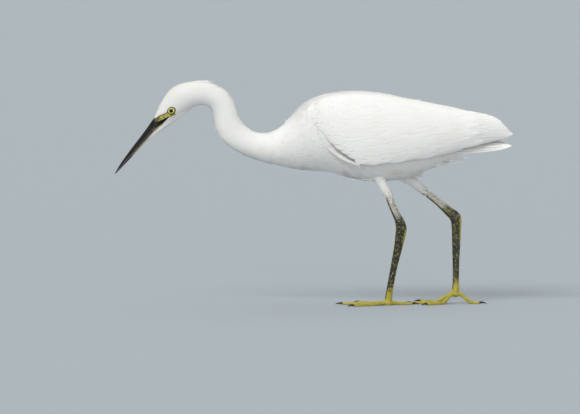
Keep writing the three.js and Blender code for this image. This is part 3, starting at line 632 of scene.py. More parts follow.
def eyeball(name, side):
    """Black pupil and pale yellow iris, by the distance from the eye's own axis, under a clear coat."""
    nodes = Nodes(name)
    centre = EYE_CENTRE * [1, side, 1] * MM + SHIFT
    at = nodes.place(location=[-c for c in centre])
    parts = nodes.add("ShaderNodeSeparateXYZ", {"Vector": at})
    x, y, z = (parts.outputs[k] for k in "XYZ")
    ahead = nodes.math("ADD", x, nodes.times(nodes.math("ABSOLUTE", y), EYE_TURN))
    squares = [nodes.math("POWER", part, 2.0) for part in (ahead, z)]
    radius = nodes.math("SQRT", nodes.math("ADD", *squares))
    angle = nodes.math("ARCTAN2", z, ahead)
    rays = nodes.add("ShaderNodeCombineXYZ", {"X": nodes.times(angle, 5.0), "Y": nodes.times(radius, 400.0)})
    streak = nodes.noise(rays.outputs["Vector"], 2.5, 3.0)
    iris = nodes.mix(nodes.ramp(streak, 0.3, 0.7), rgb(0.70, 0.62, 0.09), rgb(0.84, 0.79, 0.24))
    rim = nodes.ramp(radius, IRIS_RADIUS * 0.9 * MM, IRIS_RADIUS * MM)
    inner = nodes.ramp(radius, PUPIL_RADIUS * 1.25 * MM, PUPIL_RADIUS * 1.02 * MM)
    colour = nodes.mix(nodes.times(inner, 0.4), iris, rgb(0.45, 0.3, 0.05))
    colour = nodes.mix(rim, colour, rgb(0.03, 0.025, 0.02))
    pupil = nodes.ramp(radius, PUPIL_RADIUS * 1.03 * MM, PUPIL_RADIUS * 0.97 * MM)
    colour = nodes.mix(pupil, colour, rgb(0.004, 0.004, 0.004))
    nodes.set(Base_Color=colour, Roughness=0.2, Specular_IOR_Level=0.12, Coat_Weight=0.3, Coat_Roughness=0.02)
    return nodes.material


SOFT_PLUMAGE = plumage("soft_white_plumage", barbs=False)
VANED_PLUMAGE = plumage("vaned_white_plumage", barbs=True)
PLUME = plumage("clean_white_plume", barbs=False, stained_and_shaded=False)
BLACK_HORN = horn("black_bill_horn", rgb(0.004, 0.004, 0.005), rgb(0.62, 0.47, 0.28), 0.9)
CLAW_HORN = horn("black_claw_horn", rgb(0.02, 0.018, 0.016), rgb(0.16, 0.12, 0.08), 0.6)
LEG_SKIN = scaled_skin(
    "olive_black_leg_skin", rgb(0.010, 0.011, 0.007), rgb(0.17, 0.15, 0.03), rgb(0.42, 0.39, 0.20),
    scales=620.0, share=0.35, blotches=260.0, marks=(
        ("pale", rgb(0.60, 0.57, 0.48), rgb(0.12, 0.105, 0.075)),
        ("yellow", rgb(0.50, 0.42, 0.05), rgb(0.30, 0.28, 0.05))))
YELLOW_SKIN = scaled_skin(
    "yellow_toe_skin", rgb(0.46, 0.40, 0.06), rgb(0.30, 0.29, 0.05), rgb(0.6, 0.55, 0.2),
    scales=620.0, share=0.3)
LORE_SKIN = scaled_skin(
    "yellow_green_face_skin", rgb(0.56, 0.54, 0.09), rgb(0.26, 0.21, 0.05), rgb(0.78, 0.75, 0.34),
    scales=1500.0, share=0.5, blotches=330.0, marks=(
        ("border", rgb(0.16, 0.11, 0.03), rgb(0.08, 0.06, 0.02)),))
JAW_SKIN = scaled_skin(
    "yellow_brown_jaw_skin", rgb(0.42, 0.33, 0.11), rgb(0.24, 0.18, 0.06), rgb(0.55, 0.46, 0.2),
    scales=1500.0, share=0.3, blotches=400.0)
LID_SKIN = scaled_skin(
    "yellow_green_lid_skin", rgb(0.36, 0.36, 0.08), rgb(0.22, 0.24, 0.06), rgb(0.5, 0.48, 0.16),
    scales=1600.0, share=0.3, blotches=500.0, marks=(
        ("margin", rgb(0.02, 0.018, 0.012), rgb(0.03, 0.028, 0.02)),))


# The skin of head, neck, torso and thighs

# What the coat is like along the body: rib, mm between rows, feather length, width, and depth of its root
COAT = np.array([
    [0.0, 0.80, 2.6, 0.80, 0.45],
    [1.2, 0.85, 3.8, 0.95, 0.75],
    [3.0, 1.00, 5.5, 1.10, 1.00],
    [6.0, 1.40, 9.0, 1.40, 1.50],
    [10.0, 1.70, 13.0, 1.60, 1.80],
    [16.0, 2.00, 15.0, 1.80, 1.90],
    [20.0, 2.20, 17.0, 2.20, 2.10],
    [26.0, 2.80, 24.0, 2.60, 2.80],
    [30.0, 2.40, 19.0, 2.20, 2.60],
])


def coat_size(u):
    """mm between rows, length, width and depth of the coat at rib u."""
    return tuple(np.interp(u, COAT[:, 0], COAT[:, k]) for k in (1, 2, 3, 4))


# Stops of the skin along the ribs: from, to and how many, closest on the head
SKIN_STOPS = [(0, 7, 120), (7, 17, 90), (17, LAST_RIB, 70)]
SKIN_SIDES = 96
SKIN_DEPTH = 0.5  # depth of the skin as a share of the depth of the feathers' roots
RUMP_ENDS = ((0.85, 3.5), (0.5, 6.5))  # the last rings of the skin: size beside the last rib's, mm behind it
BALL_DEPTH = 0.8  # how deep the hollow for the eye lies under the eyeball
LID_HALF = np.array([4.7, 3.9])  # half length and half height of the dark line round the eye
LID_TILT = math.radians(20)


def lid_distance(x, z):
    """How far a side point of the head is from the middle of the eye: 1 on the dark line round it."""
    dx, dz = x - EYE_CENTRE[0], z - EYE_CENTRE[2]
    long = dx * math.cos(LID_TILT) + dz * math.sin(LID_TILT)
    high = -dx * math.sin(LID_TILT) + dz * math.cos(LID_TILT)
    return np.hypot(long / LID_HALF[0], high / LID_HALF[1])


def body_skin_rings():
    """Rings of the skin under the coat from the root of the bill to the rump, with hollows for the eyes."""
    stops = np.concatenate([np.linspace(*stop, endpoint=stop[1] == LAST_RIB) for stop in SKIN_STOPS])
    u, turn = np.meshgrid(stops, full_turn(SKIN_SIDES), indexing="ij")
    p, normal, _ = body_frame(u, turn)
    depth = coat_size(u)[3] * np.where(u < 0.02, 1.3, SKIN_DEPTH + (1 - SKIN_DEPTH) * smooth(u, 3.0, 1.0))
    rings = p - normal * depth[..., None]
    near = lid_distance(rings[..., 0], rings[..., 2])
    offset = np.hypot(rings[..., 0] - EYE_CENTRE[0], rings[..., 2] - EYE_CENTRE[2])
    under = EYE_CENTRE[1] - BALL_DEPTH + np.sqrt(np.maximum(EYE_RADIUS ** 2 - offset ** 2, 0))
    inside = 1 - smooth(near, 0.95, 1.2)
    y = np.abs(rings[..., 1])
    hollowed = y + (np.minimum(under, y) - y) * inside
    rings[..., 1] = np.sign(rings[..., 1]) * np.where(y > EYE_CENTRE[1], hollowed, y)
    rump = rings[-1].mean(0)
    ends = [rump + (rings[-1] - rump) * size + [behind, 0, 1.0] for size, behind in RUMP_ENDS]
    return np.concatenate([rings, np.array(ends)])


def leg_row(rows, side, u):
    """A leg at its row u: middle, ways rearward and outward, half thickness along each, way down."""
    row = along(rows, u)
    below, above = along(rows, u + 0.05), along(rows, u - 0.05)
    turned = np.array([1, side, 1])
    way = unit((below[..., :3] - above[..., :3]) * turned)
    rearward = unit(np.cross(way, [0, 1, 0]))
    outward = np.cross(rearward, way)
    return row[..., :3] * turned, rearward, outward, row[..., 3], row[..., 4], way


def leg_rings(rows, side, stops, sides, grow=0.0):
    middle, rearward, outward, fore, wide, _ = leg_row(rows, side, np.asarray(stops, float))
    return rings_round(middle, rearward, outward, fore + grow, wide + grow, sides)


def build_body_skin():
    """The skin of body, thighs and throat, a little under the outside of the coat."""
    thigh_depth, throat_depth = 1.2, 0.9
    stops = np.linspace(0, 4.4, 40)
    thighs = [leg_rings(THIGHS[name], side, stops, 32, grow=-thigh_depth) for name, side in SIDES.items()]
    a, w = np.meshgrid(np.linspace(-44, 17.5, 60), np.linspace(-1.25, 1.25, 22), indexing="ij")
    throat = chin_point(a, w, -throat_depth)
    Shells(*map(loft, (body_skin_rings(), *thighs, throat))).piece("body_skin", SOFT_PLUMAGE, replaced=(
        "head", "neck_upper", "neck_middle", "neck_lower", "torso", "thigh_left", "thigh_right"))


# Feathers of the coat, laid by Geometry Nodes

TOP_FACING = 0.3  # how nearly a face of a feather must face outward to be shaded as the surface below it
VANE_STEPS = [0.0, 0.3, 0.62, 0.86]
VANE_FORMS = [  # breadth at each step, sideways bend, how far the end is split
    ([0.45, 1.0, 0.82, 0.42], 0.00, 0.0),
    ([0.45, 0.95, 0.9, 0.5], 0.05, 0.0),
    ([0.45, 1.0, 0.78, 0.38], -0.06, 0.0),
    ([0.45, 0.98, 0.95, 0.62], 0.02, 0.35),
]


def vane_object(name, points, faces, uv):
    """One vane to be laid many times, with sharp edges between its top and its underside."""
    mesh = bpy.data.meshes.new(name)
    mesh.from_pydata(np.array(points).tolist(), [], faces)
    mesh.set_sharp_from_angle(angle=math.radians(60))
    with_map(mesh, "vane", np.array(uv))
    return bpy.data.objects.new(name, mesh)


def small_vane(name, breadths, bend, split, thick=0.005, bow=0.03):
    """A closed feather 1 long along Y and 1 wide, three-sided in section, with a pointed or forked end."""
    def middle(s):
        return bend * s * s, s, 4 * bow * s * (1 - s)

    points, faces, uv = [], [], []
    for s, breadth in zip(VANE_STEPS, breadths):
        x, y, z = middle(s)
        for k, lift in ((-0.5, -0.4 * thick), (0.0, 1.6 * thick), (0.5, -0.4 * thick)):
            points.append((x + k * breadth, y, z + lift))
            uv.append((0.5 + k * breadth, s))
    rows = len(VANE_STEPS)
    for i in range(rows - 1):
        for j in range(3):
            k = (j + 1) % 3
            faces.append((3 * i + j, 3 * i + k, 3 * i + 3 + k, 3 * i + 3 + j))
    faces.append((2, 1, 0))
    last = 3 * (rows - 1)
    x, y, z = middle(1.0)
    if split:
        tips = [(x - split * 0.5, 0.97, z), (x + split * 0.6, 1.0, z)]
        points += tips
        uv += [(0.3, 1.0), (0.7, 1.0)]
        left, right = len(points) - 2, len(points) - 1
        faces += [(last, last + 1, left), (last + 1, last + 2, right), (last + 1, right, left),
                  (last + 2, last, left), (last + 2, left, right)]
    else:
        points.append((x, y, z))
        uv.append((0.5, 1.0))
        tip = len(points) - 1
        faces += [(last, last + 1, tip), (last + 1, last + 2, tip), (last + 2, last, tip)]
    return vane_object(name, points, faces, uv)


def collection_of(name, objects):
    group = bpy.data.collections.new(name)
    for obj in objects:
        group.objects.link(obj)
    return group


SMALL_VANES = collection_of("small_vanes", [
    small_vane(f"small_vane_{i}", *form) for i, form in enumerate(VANE_FORMS)])


def laying_tree():
    """Lays vanes on roots. A root's aim, outward and size give its vane's way, facing and scale."""
    tree = bpy.data.node_groups.new("lay_vanes", "GeometryNodeTree")
    face = tree.interface
    add = partial(add_node, tree)
    sockets = {}
    for name, kind in (("Roots", "Geometry"), ("Vanes", "Collection"), ("Yaw", "Float"), ("Roll", "Float"),
                       ("Patch", "Float"), ("Soften", "Float"), ("Seed", "Int"), ("Finish", "Material")):
        sockets[name] = face.new_socket(name=name, in_out="INPUT", socket_type="NodeSocket" + kind).identifier
    face.new_socket(name="Coat", in_out="OUTPUT", socket_type="NodeSocketGeometry")

    def named(name):
        node = add("GeometryNodeInputNamedAttribute", {"Name": name}, data_type="FLOAT_VECTOR")
        return node.outputs["Attribute"]

    def draw(kind, socket, low, high, seed):
        """A random number of this kind for each root."""
        node = add("FunctionNodeRandomValue", {"Seed": seed}, data_type=kind)
        for end, value in zip([i for i in node.inputs if i.type == socket], (low, high)):
            feed(tree, end, value)
        return [o for o in node.outputs if o.type == socket][0]

    given = add("NodeGroupInput")
    rotation = add("FunctionNodeAxesToRotation", {0: named("aim"), 1: named("outward")},
                   primary_axis="Y", secondary_axis="Z").outputs["Rotation"]
    turns = []
    for offset, key in enumerate(("Yaw", "Roll")):
        low = add("ShaderNodeMath", {0: given.outputs[key], 1: -1.0}, operation="MULTIPLY").outputs[0]
        seed = add("FunctionNodeIntegerMath", {0: given.outputs["Seed"], 1: offset}, operation="ADD")
        turns.append(draw("FLOAT", "VALUE", low, given.outputs[key], seed.outputs[0]))
    euler = add("ShaderNodeCombineXYZ", {"Z": turns[0], "Y": turns[1]}).outputs[0]
    turned = add("FunctionNodeRotateRotation", {0: rotation, 1: euler}, rotation_space="LOCAL").outputs[0]
    vanes = add("GeometryNodeCollectionInfo", {
        "Collection": given.outputs["Vanes"], "Separate Children": True, "Reset Children": True})
    chosen = draw("INT", "INT", 0, 99, given.outputs["Seed"])
    laid = add("GeometryNodeInstanceOnPoints", {
        "Points": given.outputs["Roots"], "Instance": vanes.outputs[0], "Pick Instance": True,
        "Instance Index": chosen, "Rotation": turned, "Scale": named("size")})
    real = add("GeometryNodeRealizeInstances", {"Geometry": laid.outputs[0]})
    off = add("ShaderNodeVectorMath", {0: named("vane"), 1: (-0.5, -0.5, 0.0)}, operation="ADD").outputs[0]
    small = add("ShaderNodeVectorMath", {0: off, "Scale": given.outputs["Patch"]}, operation="SCALE")
    place = add("ShaderNodeVectorMath", {0: named("root_uv"), 1: small.outputs[0]}, operation="ADD")
    mapped = add("GeometryNodeStoreNamedAttribute", {
        "Geometry": real.outputs[0], "Name": "OFBake", "Value": place.outputs[0]},
        data_type="FLOAT2", domain="CORNER")
    shade = add("GeometryNodeSetShadeSmooth", {"Geometry": mapped.outputs[0], "Shade Smooth": True})
    own = add("GeometryNodeInputNormal").outputs["Normal"]
    flat = add("GeometryNodeFieldOnDomain", {0: own}, data_type="FLOAT_VECTOR", domain="FACE").outputs[0]
    blend = add("ShaderNodeMix", {
        0: given.outputs["Soften"], 4: own, 5: named("outward")}, data_type="VECTOR")
    soft = add("ShaderNodeVectorMath", {0: blend.outputs[1]}, operation="NORMALIZE").outputs[0]
    facing = add("ShaderNodeVectorMath", {0: flat, 1: named("outward")}, operation="DOT_PRODUCT")
    above = add("FunctionNodeCompare", {0: facing.outputs["Value"], 1: TOP_FACING}, data_type="FLOAT",
                operation="GREATER_THAN").outputs[0]
    either = add("GeometryNodeSwitch", {0: above, 1: flat, 2: soft}, input_type="VECTOR").outputs[0]
    eased = add("GeometryNodeSetMeshNormal", {"Mesh": shade.outputs[0], "Custom Normal": either},
                mode="FREE", domain="CORNER")
    finish = add("GeometryNodeSetMaterial", {
        "Geometry": eased.outputs[0], "Material": given.outputs["Finish"]})
    add("NodeGroupOutput", {0: finish.outputs[0]})
    return tree, sockets


LAY, LAY_INPUTS = laying_tree()


def unwrapped(part, whole=1.0):
    """Where a part of a whole lies on an unwrap with a narrow edge left free."""
    return 0.02 + 0.96 * part / whole


def share_of_turn(turn):
    return turn / (2 * math.pi) % 1.0


class Roots:
    """Where feathers start: places and tips in mm, facings, widths, and places in the skin's unwrap."""

    def __init__(self):
        self.rows = {key: [] for key in ("root", "tip", "outward", "width", "uv")}

    def add(self, root, tip, outward, width, uv):
        n = len(root)
        shapes = ((n, 3), (n, 3), (n, 3), (n,), (n, 2))
        for rows, part, shape in zip(self.rows.values(), (root, tip, outward, width, uv), shapes):
            rows.append(np.broadcast_to(part, shape))

    def joined(self):
        return {key: np.concatenate(rows) for key, rows in self.rows.items()}

    def keep(self, test):
        """Keeps the feathers whose roots and tips pass the test."""
        data = self.joined()
        ok = test(data["root"], data["tip"])
        self.rows = {key: [rows[ok]] for key, rows in data.items()}
        return self

    def lay(self, name, seed, vanes=SMALL_VANES, finish=SOFT_PLUMAGE, slot="plumage",
            yaw=5.0, roll=4.0, soften=0.72):
        """Makes the piece: a vane on each root, turned at random by up to yaw and roll degrees."""
        data = self.joined()
        count = len(data["root"])
        mesh = bpy.data.meshes.new(name + "_roots")
        mesh.vertices.add(count)
        mesh.vertices.foreach_set("co", (data["root"] * MM + SHIFT).astype(np.float32).ravel())
        aim = (data["tip"] - data["root"]) * MM
        length = np.linalg.norm(aim, axis=1)
        size = np.stack([data["width"] * MM, length, length], -1)
        uv = np.column_stack([data["uv"], np.zeros(count)])
        for key, value in (("aim", aim), ("outward", data["outward"]), ("size", size), ("root_uv", uv)):
            mesh.attributes.new(key, "FLOAT_VECTOR", "POINT").data.foreach_set(
                "vector", np.ascontiguousarray(value, np.float32).ravel())

        def prepare(obj):
            laid = obj.modifiers.new("lay", "NODES")
            laid.node_group = LAY
            settings = {"Vanes": vanes, "Yaw": math.radians(yaw), "Roll": math.radians(roll), "Patch": PATCH,
                        "Soften": soften, "Seed": seed, "Finish": finish}
            for key, value in settings.items():
                laid[LAY_INPUTS[key]] = value

        mesh = evaluated(mesh, prepare)
        mesh.name = name
        for key in ("aim", "outward", "size", "root_uv"):
            if key in mesh.attributes:
                mesh.attributes.remove(mesh.attributes[key])
        piece(name, mesh, None)


def wander(a, b, seed):
    """Smooth noise of two numbers, from -1 to 1, the same each run."""
    rng = np.random.default_rng(seed)
    total = 0
    for k in range(4):
        fa, fb = rng.normal(0, 1, 2) * (1.4 ** k)
        total = total + np.sin(fa * a + fb * b + rng.uniform(0, 6.28)) / 1.3 ** k
    return total / 2.6


def arc_along(line):
    """How far each point of a line lies along it."""
    return np.concatenate([[0], np.cumsum(np.linalg.norm(np.diff(line, axis=0), axis=1))])


OVERRUN = [9.0, 0, 0.5]  # how far feathers reach past the last rib, in mm for each rib they are too long
ROW_POINTS = 181  # points round the body at which a row is measured
COAT_GAP = 0.62  # from one feather of a row to the next, as a share of their width
LEAST_KEPT = 0.25  # the share of a row's feathers that stays where the ribs crowd
LONGEST = 3.2  # ribs that a feather may span


def coat_rows(u_from, u_to, seed):
    """Staggered rows of feathers on the body between two ribs, pointing back along it."""
    rng = np.random.default_rng(seed)
    roots = Roots()
    ring = np.linspace(-math.pi, math.pi, ROW_POINTS)
    u = u_from
    while u < u_to:
        spacing, length, width, depth = coat_size(u)
        p, _, per_u = body_frame(np.full(ROW_POINTS, u), ring)
        widest = per_u.max()
        arc = arc_along(p)
        count = max(int(arc[-1] / (width * COAT_GAP)), 3)
        place = (np.arange(count) + rng.uniform(0, 1) + rng.uniform(-0.35, 0.35, count)) / count * arc[-1]
        turn = np.interp(place % arc[-1], arc, ring)
        here = np.interp(turn, ring, per_u)
        turn = turn[rng.uniform(0, 1, count) < np.maximum(here / widest, LEAST_KEPT)]
        here = np.interp(turn, ring, per_u)
        n = len(turn)
        at = u + rng.uniform(-0.4, 0.4, n) * spacing / widest
        reach = length * rng.uniform(0.82, 1.12, n)
        root, normal, _ = body_frame(at, turn)
        root = root - normal * depth
        end = at + np.clip(reach / here, 0, LONGEST)
        sway = 0.03 * wander(at * 0.8, turn * 3.0, 7) + rng.normal(0, 0.01, n)
        tip, tip_normal, _ = body_frame(np.minimum(end, LAST_RIB), turn + sway)
        tip = tip + tip_normal * (rng.uniform(-0.08, 0.08, n) * depth)[:, None]
        overrun = np.maximum(end - LAST_RIB, 0)[:, None] * OVERRUN
        uv = np.stack([unwrapped(at, LAST_RIB), unwrapped(share_of_turn(turn))], -1)
        roots.add(root, tip + overrun, normal, 1.25 * width * rng.uniform(0.8, 1.2, n), uv)
        u += spacing / widest
    return roots


# The bare face between bill and eye: x and z of its upper and of its lower edge
LORE_UPPER = np.array([
    [-203.6, 235.8], [-195.7, 240.9], [-190.0, 243.2], [-185.4, 245.2], [-181.0, 243.8], [-174.2, 244.0]])
LORE_LOWER = np.array([
    [-203.6, 229.4], [-196.5, 233.4], [-190.0, 236.2], [-185.5, 238.5], [-179.8, 238.9], [-174.2, 242.0]])
# Strips along the corner of the mouth, from the bill back: middle line, and half widths at stops along it
GAPE = (np.array([[-201.4, 226.6], [-196.5, 230.4], [-191.4, 233.6], [-187.0, 236.8], [-182.9, 239.6]]),
        [3.3, 3.0, 2.2, 1.3, 0.3])
JAW = (np.array([[-202.2, 222.3], [-197.6, 225.6], [-193.4, 228.7], [-190.2, 231.4]]), [0.5, 0.9, 0.8, 0.2])
GAPE_DEPTH = 1.9  # how far the bare skin reaches below the lore


def bare(points, margin):
    """Whether a point of the head lies on the bare face, the gape or the eye, seen from the side."""
    x, z = points[:, 0], points[:, 2]
    upper = np.interp(x, LORE_UPPER[:, 0], LORE_UPPER[:, 1], left=0, right=0)
    lower = np.interp(x, LORE_LOWER[:, 0], LORE_LOWER[:, 1], left=999, right=999)
    lower = lower - GAPE_DEPTH * (1 - smooth(x, -187, -181))
    lore = (z < upper - margin) & (z > lower + margin)
    return lore | (lid_distance(x, z) < 1.1 - 0.04 * margin)


def build_coat():
    """The coat of head, neck and body, in five pieces that overlap a little."""
    brow_half, back_half, back_z, under_wing = 2.5, 22, 240, 12

    def clear_of_face(root, tip):
        middle = (root + tip) / 2
        beside_brow = np.abs(root[:, 1]) > brow_half
        return ~(beside_brow & (bare(root, 0.2) | bare(middle, 0.9) | bare(tip, 1.0)))

    def outside_wings(root, tip):
        wing_edge = np.interp(root[:, 0], WING[:, 0], WING[:, 2])
        on_back = (np.abs(root[:, 1]) < back_half) & (root[:, 2] > back_z)
        return (root[:, 2] < wing_edge + under_wing) | on_back

    coat_rows(0.15, 6.3, 21).keep(clear_of_face).lay("coat_head", 1)
    coat_rows(5.6, 11.5, 22).lay("coat_neck_upper", 2)
    coat_rows(11.0, 17.0, 23).lay("coat_neck_lower", 3)
    coat_rows(16.4, 21.6, 24).lay("coat_breast", 4)
    coat_rows(20.8, 29.9, 25).keep(outside_wings).lay("coat_body", 5)


# The throat under head and bill: mm along the bill, how far its top and its bottom lie under the bill's line,
# half width
CHIN = np.array([
    [-46, 14.5, 19.8, 4.0],
    [-38, 13.0, 18.1, 5.4],
    [-28, 10.0, 16.1, 6.4],
    [-20, 8.0, 14.2, 6.2],
    [-12, 6.5, 12.0, 5.4],
    [-4, 5.0, 9.7, 4.5],
    [6, 4.2, 6.9, 3.4],
    [14, 3.6, 5.5, 2.2],
    [19, 3.2, 4.2, 1.2],
])


def chin_point(a, w, out=0.0):
    """A point of the throat: a mm along the bill, w -1 at its left edge and 1 at its right edge."""
    row = [np.interp(a, CHIN[:, 0], CHIN[:, k]) for k in (1, 2, 3)]
    turn = w * math.pi / 2
    return bill_point(a, (row[2] + out) * np.sin(turn), -(row[0] + (row[1] - row[0] + out) * np.cos(turn)))


CHIN_ROWS = (18.5, -44.0, -0.75)  # mm along the bill of the first row, of the end, and between rows


def build_chin_coat():
    """Feathers of the throat, from its point under the bill back, across the whole of its underside."""
    rng = np.random.default_rng(29)
    roots = Roots()
    for a in np.arange(*CHIN_ROWS):
        n = int(3 * np.interp(a, CHIN[:, 0], CHIN[:, 3])) + 6
        w = np.linspace(-1, 1, n) + rng.uniform(-0.06, 0.06, n)
        at = np.full(n, a) + rng.uniform(-0.3, 0.3, n)
        reach = rng.uniform(0.85, 1.15, n) * np.interp(a, [-44, 0, 18], [6.0, 4.6, 3.6])
        root = chin_point(at, w, -0.7)
        tip = chin_point(at - reach, w, 0.1)
        outward = unit(chin_point(at, w, 1.0) - chin_point(at, w, 0.0))
        roots.add(root, tip, outward, rng.uniform(0.9, 1.3, n), np.stack([0.7 + at / 80, 0.5 + 0.4 * w], -1))
    roots.lay("coat_chin", 6)


THIGH_ROWS = (0.3, 4.75, 0.085)  # the thigh's row where its coat starts, where it ends, and from row to row


def build_thigh_coats():
    """Feathers of the thighs, shorter and fewer towards the shank, where they run out on its skin."""
    for index, (name, side) in enumerate(SIDES.items()):
        rows = THIGHS[name]
        roots = Roots()
        rng = np.random.default_rng(31 + index)
        for u in np.arange(*THIGH_ROWS):
            thin = 1 - 0.85 * smooth(u, 3.6, 4.7)
            n = int((58 - 10 * u) * thin)
            turn = (np.arange(n) + rng.uniform(0, 1)) / n * 2 * math.pi + rng.uniform(-0.1, 0.1, n)
            at = u + rng.uniform(-0.04, 0.04, n)
            middle, rearward, outward, fore, wide, way = leg_row(rows, side, at)
            fore, wide, cosine, sine = (part[:, None] for part in (fore, wide, np.cos(turn), np.sin(turn)))
            facing = unit(rearward * (cosine / fore) + outward * (sine / wide))
            shape = rearward * cosine * fore + outward * sine * wide
            length = rng.uniform(0.8, 1.15, n) * np.interp(at, [0.3, 2.5, 4.0, 4.7], [17, 12, 6, 3.5])
            slope = np.interp(at, [0.3, 2.0, 4.0], [0.18, 0.42, 0.10]) / np.interp(at, [0, 2, 4], [18, 10, 5])
            tip = (middle + way * length[:, None] + shape * (1 - slope * length)[:, None]
                   + facing * rng.uniform(-0.1, 0.35, (n, 1)))
            depth = np.interp(at, [0.3, 3.0, 4.7], [1.7, 1.2, 0.3])[:, None]
            uv = np.stack([unwrapped(at, 5), unwrapped(share_of_turn(turn))], -1)
            width = np.interp(at, [0.3, 3.0, 4.7], [3.0, 1.8, 0.9]) * rng.uniform(0.8, 1.2, n)
            roots.add(middle + shape - facing * depth, tip, facing, width, uv)
        roots.lay(f"coat_thigh_{name}", 40 + index, yaw=8)


# Loose wisps: middle of their roots, how far the roots spread, way of the tips, length, width, how many
WISPS = [
    ((-146.0, 0, 283.2), (9.0, 3.5, 0.4), (8.5, 0, 2.4), 6.0, 0.7, 150),  # nape
    ((-33.4, -2, 230.2), (0.9, 0.6, 0.5), (-1.0, -0.3, 6.0), 6.5, 0.9, 5),  # foot of the neck
    ((122.0, 0, 260.0), (8.0, 6.0, 0.5), (13.0, 0, -1.2), 9.0, 1.4, 60),  # rump
    ((167.0, 0, 186.0), (9.0, 9.0, 2.6), (13.0, 0, 1.8), 15.0, 0.8, 520),  # vent
    ((154.0, 0, 179.0), (8.0, 8.0, 2.0), (13.0, 0, 1.0), 11.0, 0.8, 330),
    ((126.0, 11, 165.6), (4.5, 6.5, 1.0), (12.0, 0, -1.4), 14.0, 0.7, 130),  # behind the thighs
    ((66.0, 0, 160.6), (14.0, 12.0, 0.5), (12.0, 0, -0.5), 8.0, 0.9, 120),  # belly
]


def build_wisps():
    rng = np.random.default_rng(33)
    roots = Roots()
    for middle, spread_by, way, length, width, count in WISPS:
        root = np.array(middle) + rng.normal(0, 0.55, (count, 3)) * spread_by
        aim = unit(np.array(way) + rng.normal(0, 0.09, (count, 3)) * length)
        aim = aim * length * rng.uniform(0.6, 1.1, (count, 1))
        facing = unit(np.stack([np.zeros(count), np.where(root[:, 1] >= middle[1], 1.0, -1.0),
                                np.full(count, 0.5 if middle[2] > 200 else 0.15)], -1))
        uv = np.stack([unwrapped(root[:, 0] + 210, 400), 0.5 + root[:, 1] / 100], -1)
        roots.add(root, root + aim, facing, width * rng.uniform(0.6, 1.1, count), uv)
    roots.lay("coat_wisps", 8, yaw=8, roll=14)


# Wings

LONG_STEPS = np.concatenate([np.linspace(0, 0.7, 12, endpoint=False), np.linspace(0.7, 1, 14)])
ACROSS = np.array([-1.0, -0.66, -0.3, 0.0, 0.3, 0.66, 1.0])
RISE_STOPS = [0, 0.28, 0.62, 0.88, 1]  # where along a long feather its height over the wing is given
# Outlines of long feathers: stops along them, and their breadth there
ROUND_END = ([0, 0.06, 0.22, 0.5, 0.78, 0.88, 0.94, 0.98, 1],
             [0.25, 0.55, 0.92, 1.0, 0.94, 0.82, 0.64, 0.40, 0.12])
LANCE_END = ([0, 0.06, 0.22, 0.45, 0.65, 0.82, 0.93, 1], [0.25, 0.6, 0.95, 1.0, 0.86, 0.55, 0.28, 0.06])
TAPER_END = ([0, 0.06, 0.22, 0.5, 0.7, 0.82, 0.92, 1], [0.25, 0.55, 0.92, 1.0, 0.96, 0.8, 0.5, 0.08])
VANE_THICK = 0.3
SHAFT_HEIGHT = 0.08


def outline(form, rng, notches=3):
    """Half breadth of a long feather at its steps, left and right, with a few splits among its barbs."""
    breadth = np.interp(LONG_STEPS, *form)
    sides = np.stack([breadth, breadth])
    for _ in range(notches):
        k = rng.integers(8, len(LONG_STEPS) - 2)
        sides[rng.integers(0, 2), k] *= rng.uniform(0.72, 0.95)
    return sides


def long_vane(shells, point_at, facing_at, half_width, form, rise, tilt, rng, home, shade=None):
    """A long feather. point_at(step, across mm) gives its middle surface, facing_at the way it faces.

    rise is its height over that surface at RISE_STOPS, tilt how much higher one edge is than its middle, and
    shade the way that its top is shaded to face, where that isn't the way it faces.
    """
    sides = outline(form, rng)
    across = ACROSS[None, :] * np.where(ACROSS < 0, sides[0][:, None], sides[1][:, None])
    s = np.broadcast_to(LONG_STEPS[:, None], across.shape)
    p = point_at(s, across * half_width)
    facing = facing_at(s, across * half_width)
    shaft = SHAFT_HEIGHT * np.exp(-(ACROSS * 6) ** 2)[None, :] * (1 - 0.7 * s)
    height = np.interp(s, RISE_STOPS, rise) + tilt * across * np.minimum(s * 2.5, 1)
    height = height - 0.12 * across ** 2 + shaft
    thick = VANE_THICK * (1 - 0.6 * across ** 2) * (1 - 0.5 * s)
    points, faces = plate(p + facing * height[..., None], p + facing * (height - thick)[..., None])
    flat = np.stack([0.5 + 0.5 * across, s], -1).reshape(-1, 2)
    if shade is None:
        facing = facing.reshape(-1, 3)
    else:
        facing = np.tile(unit(np.array(shade, float)), (p.size // 3, 1))
    shells.add(points, faces, np.concatenate([flat, flat]), np.concatenate([facing, -facing]), home)


def wing_vane(shells, side, root, tip, width, rise, rng, tilt, form=ROUND_END):
    """A long feather laid on the wing from root to tip, both given as x, z seen from the side."""
    (x0, z0), (x1, z1) = root, tip
    v0, v1 = wing_across(np.array(x0), z0), wing_across(np.array(x1), z1)

    def place(s, off):
        x = x0 + (x1 - x0) * s
        v = v0 + (v1 - v0) * s
        per_v = np.linalg.norm((wing_point(1, x, v + 0.02) - wing_point(1, x, v - 0.02)) / 0.04, axis=-1)
        return x, v + off / np.maximum(per_v, 20)

    def point_at(s, off):
        return wing_point(side, *place(s, off))

    def facing_at(s, off):
        x, v = place(s, off)
        return wing_frame(side, np.minimum(x, 250), np.clip(v, 0.03, 1.1))[1]

    home = (unwrapped(x0 + 10, 270), unwrapped(float(v0)))
    long_vane(shells, point_at, facing_at, width / 2, form, rise, tilt, rng, home)


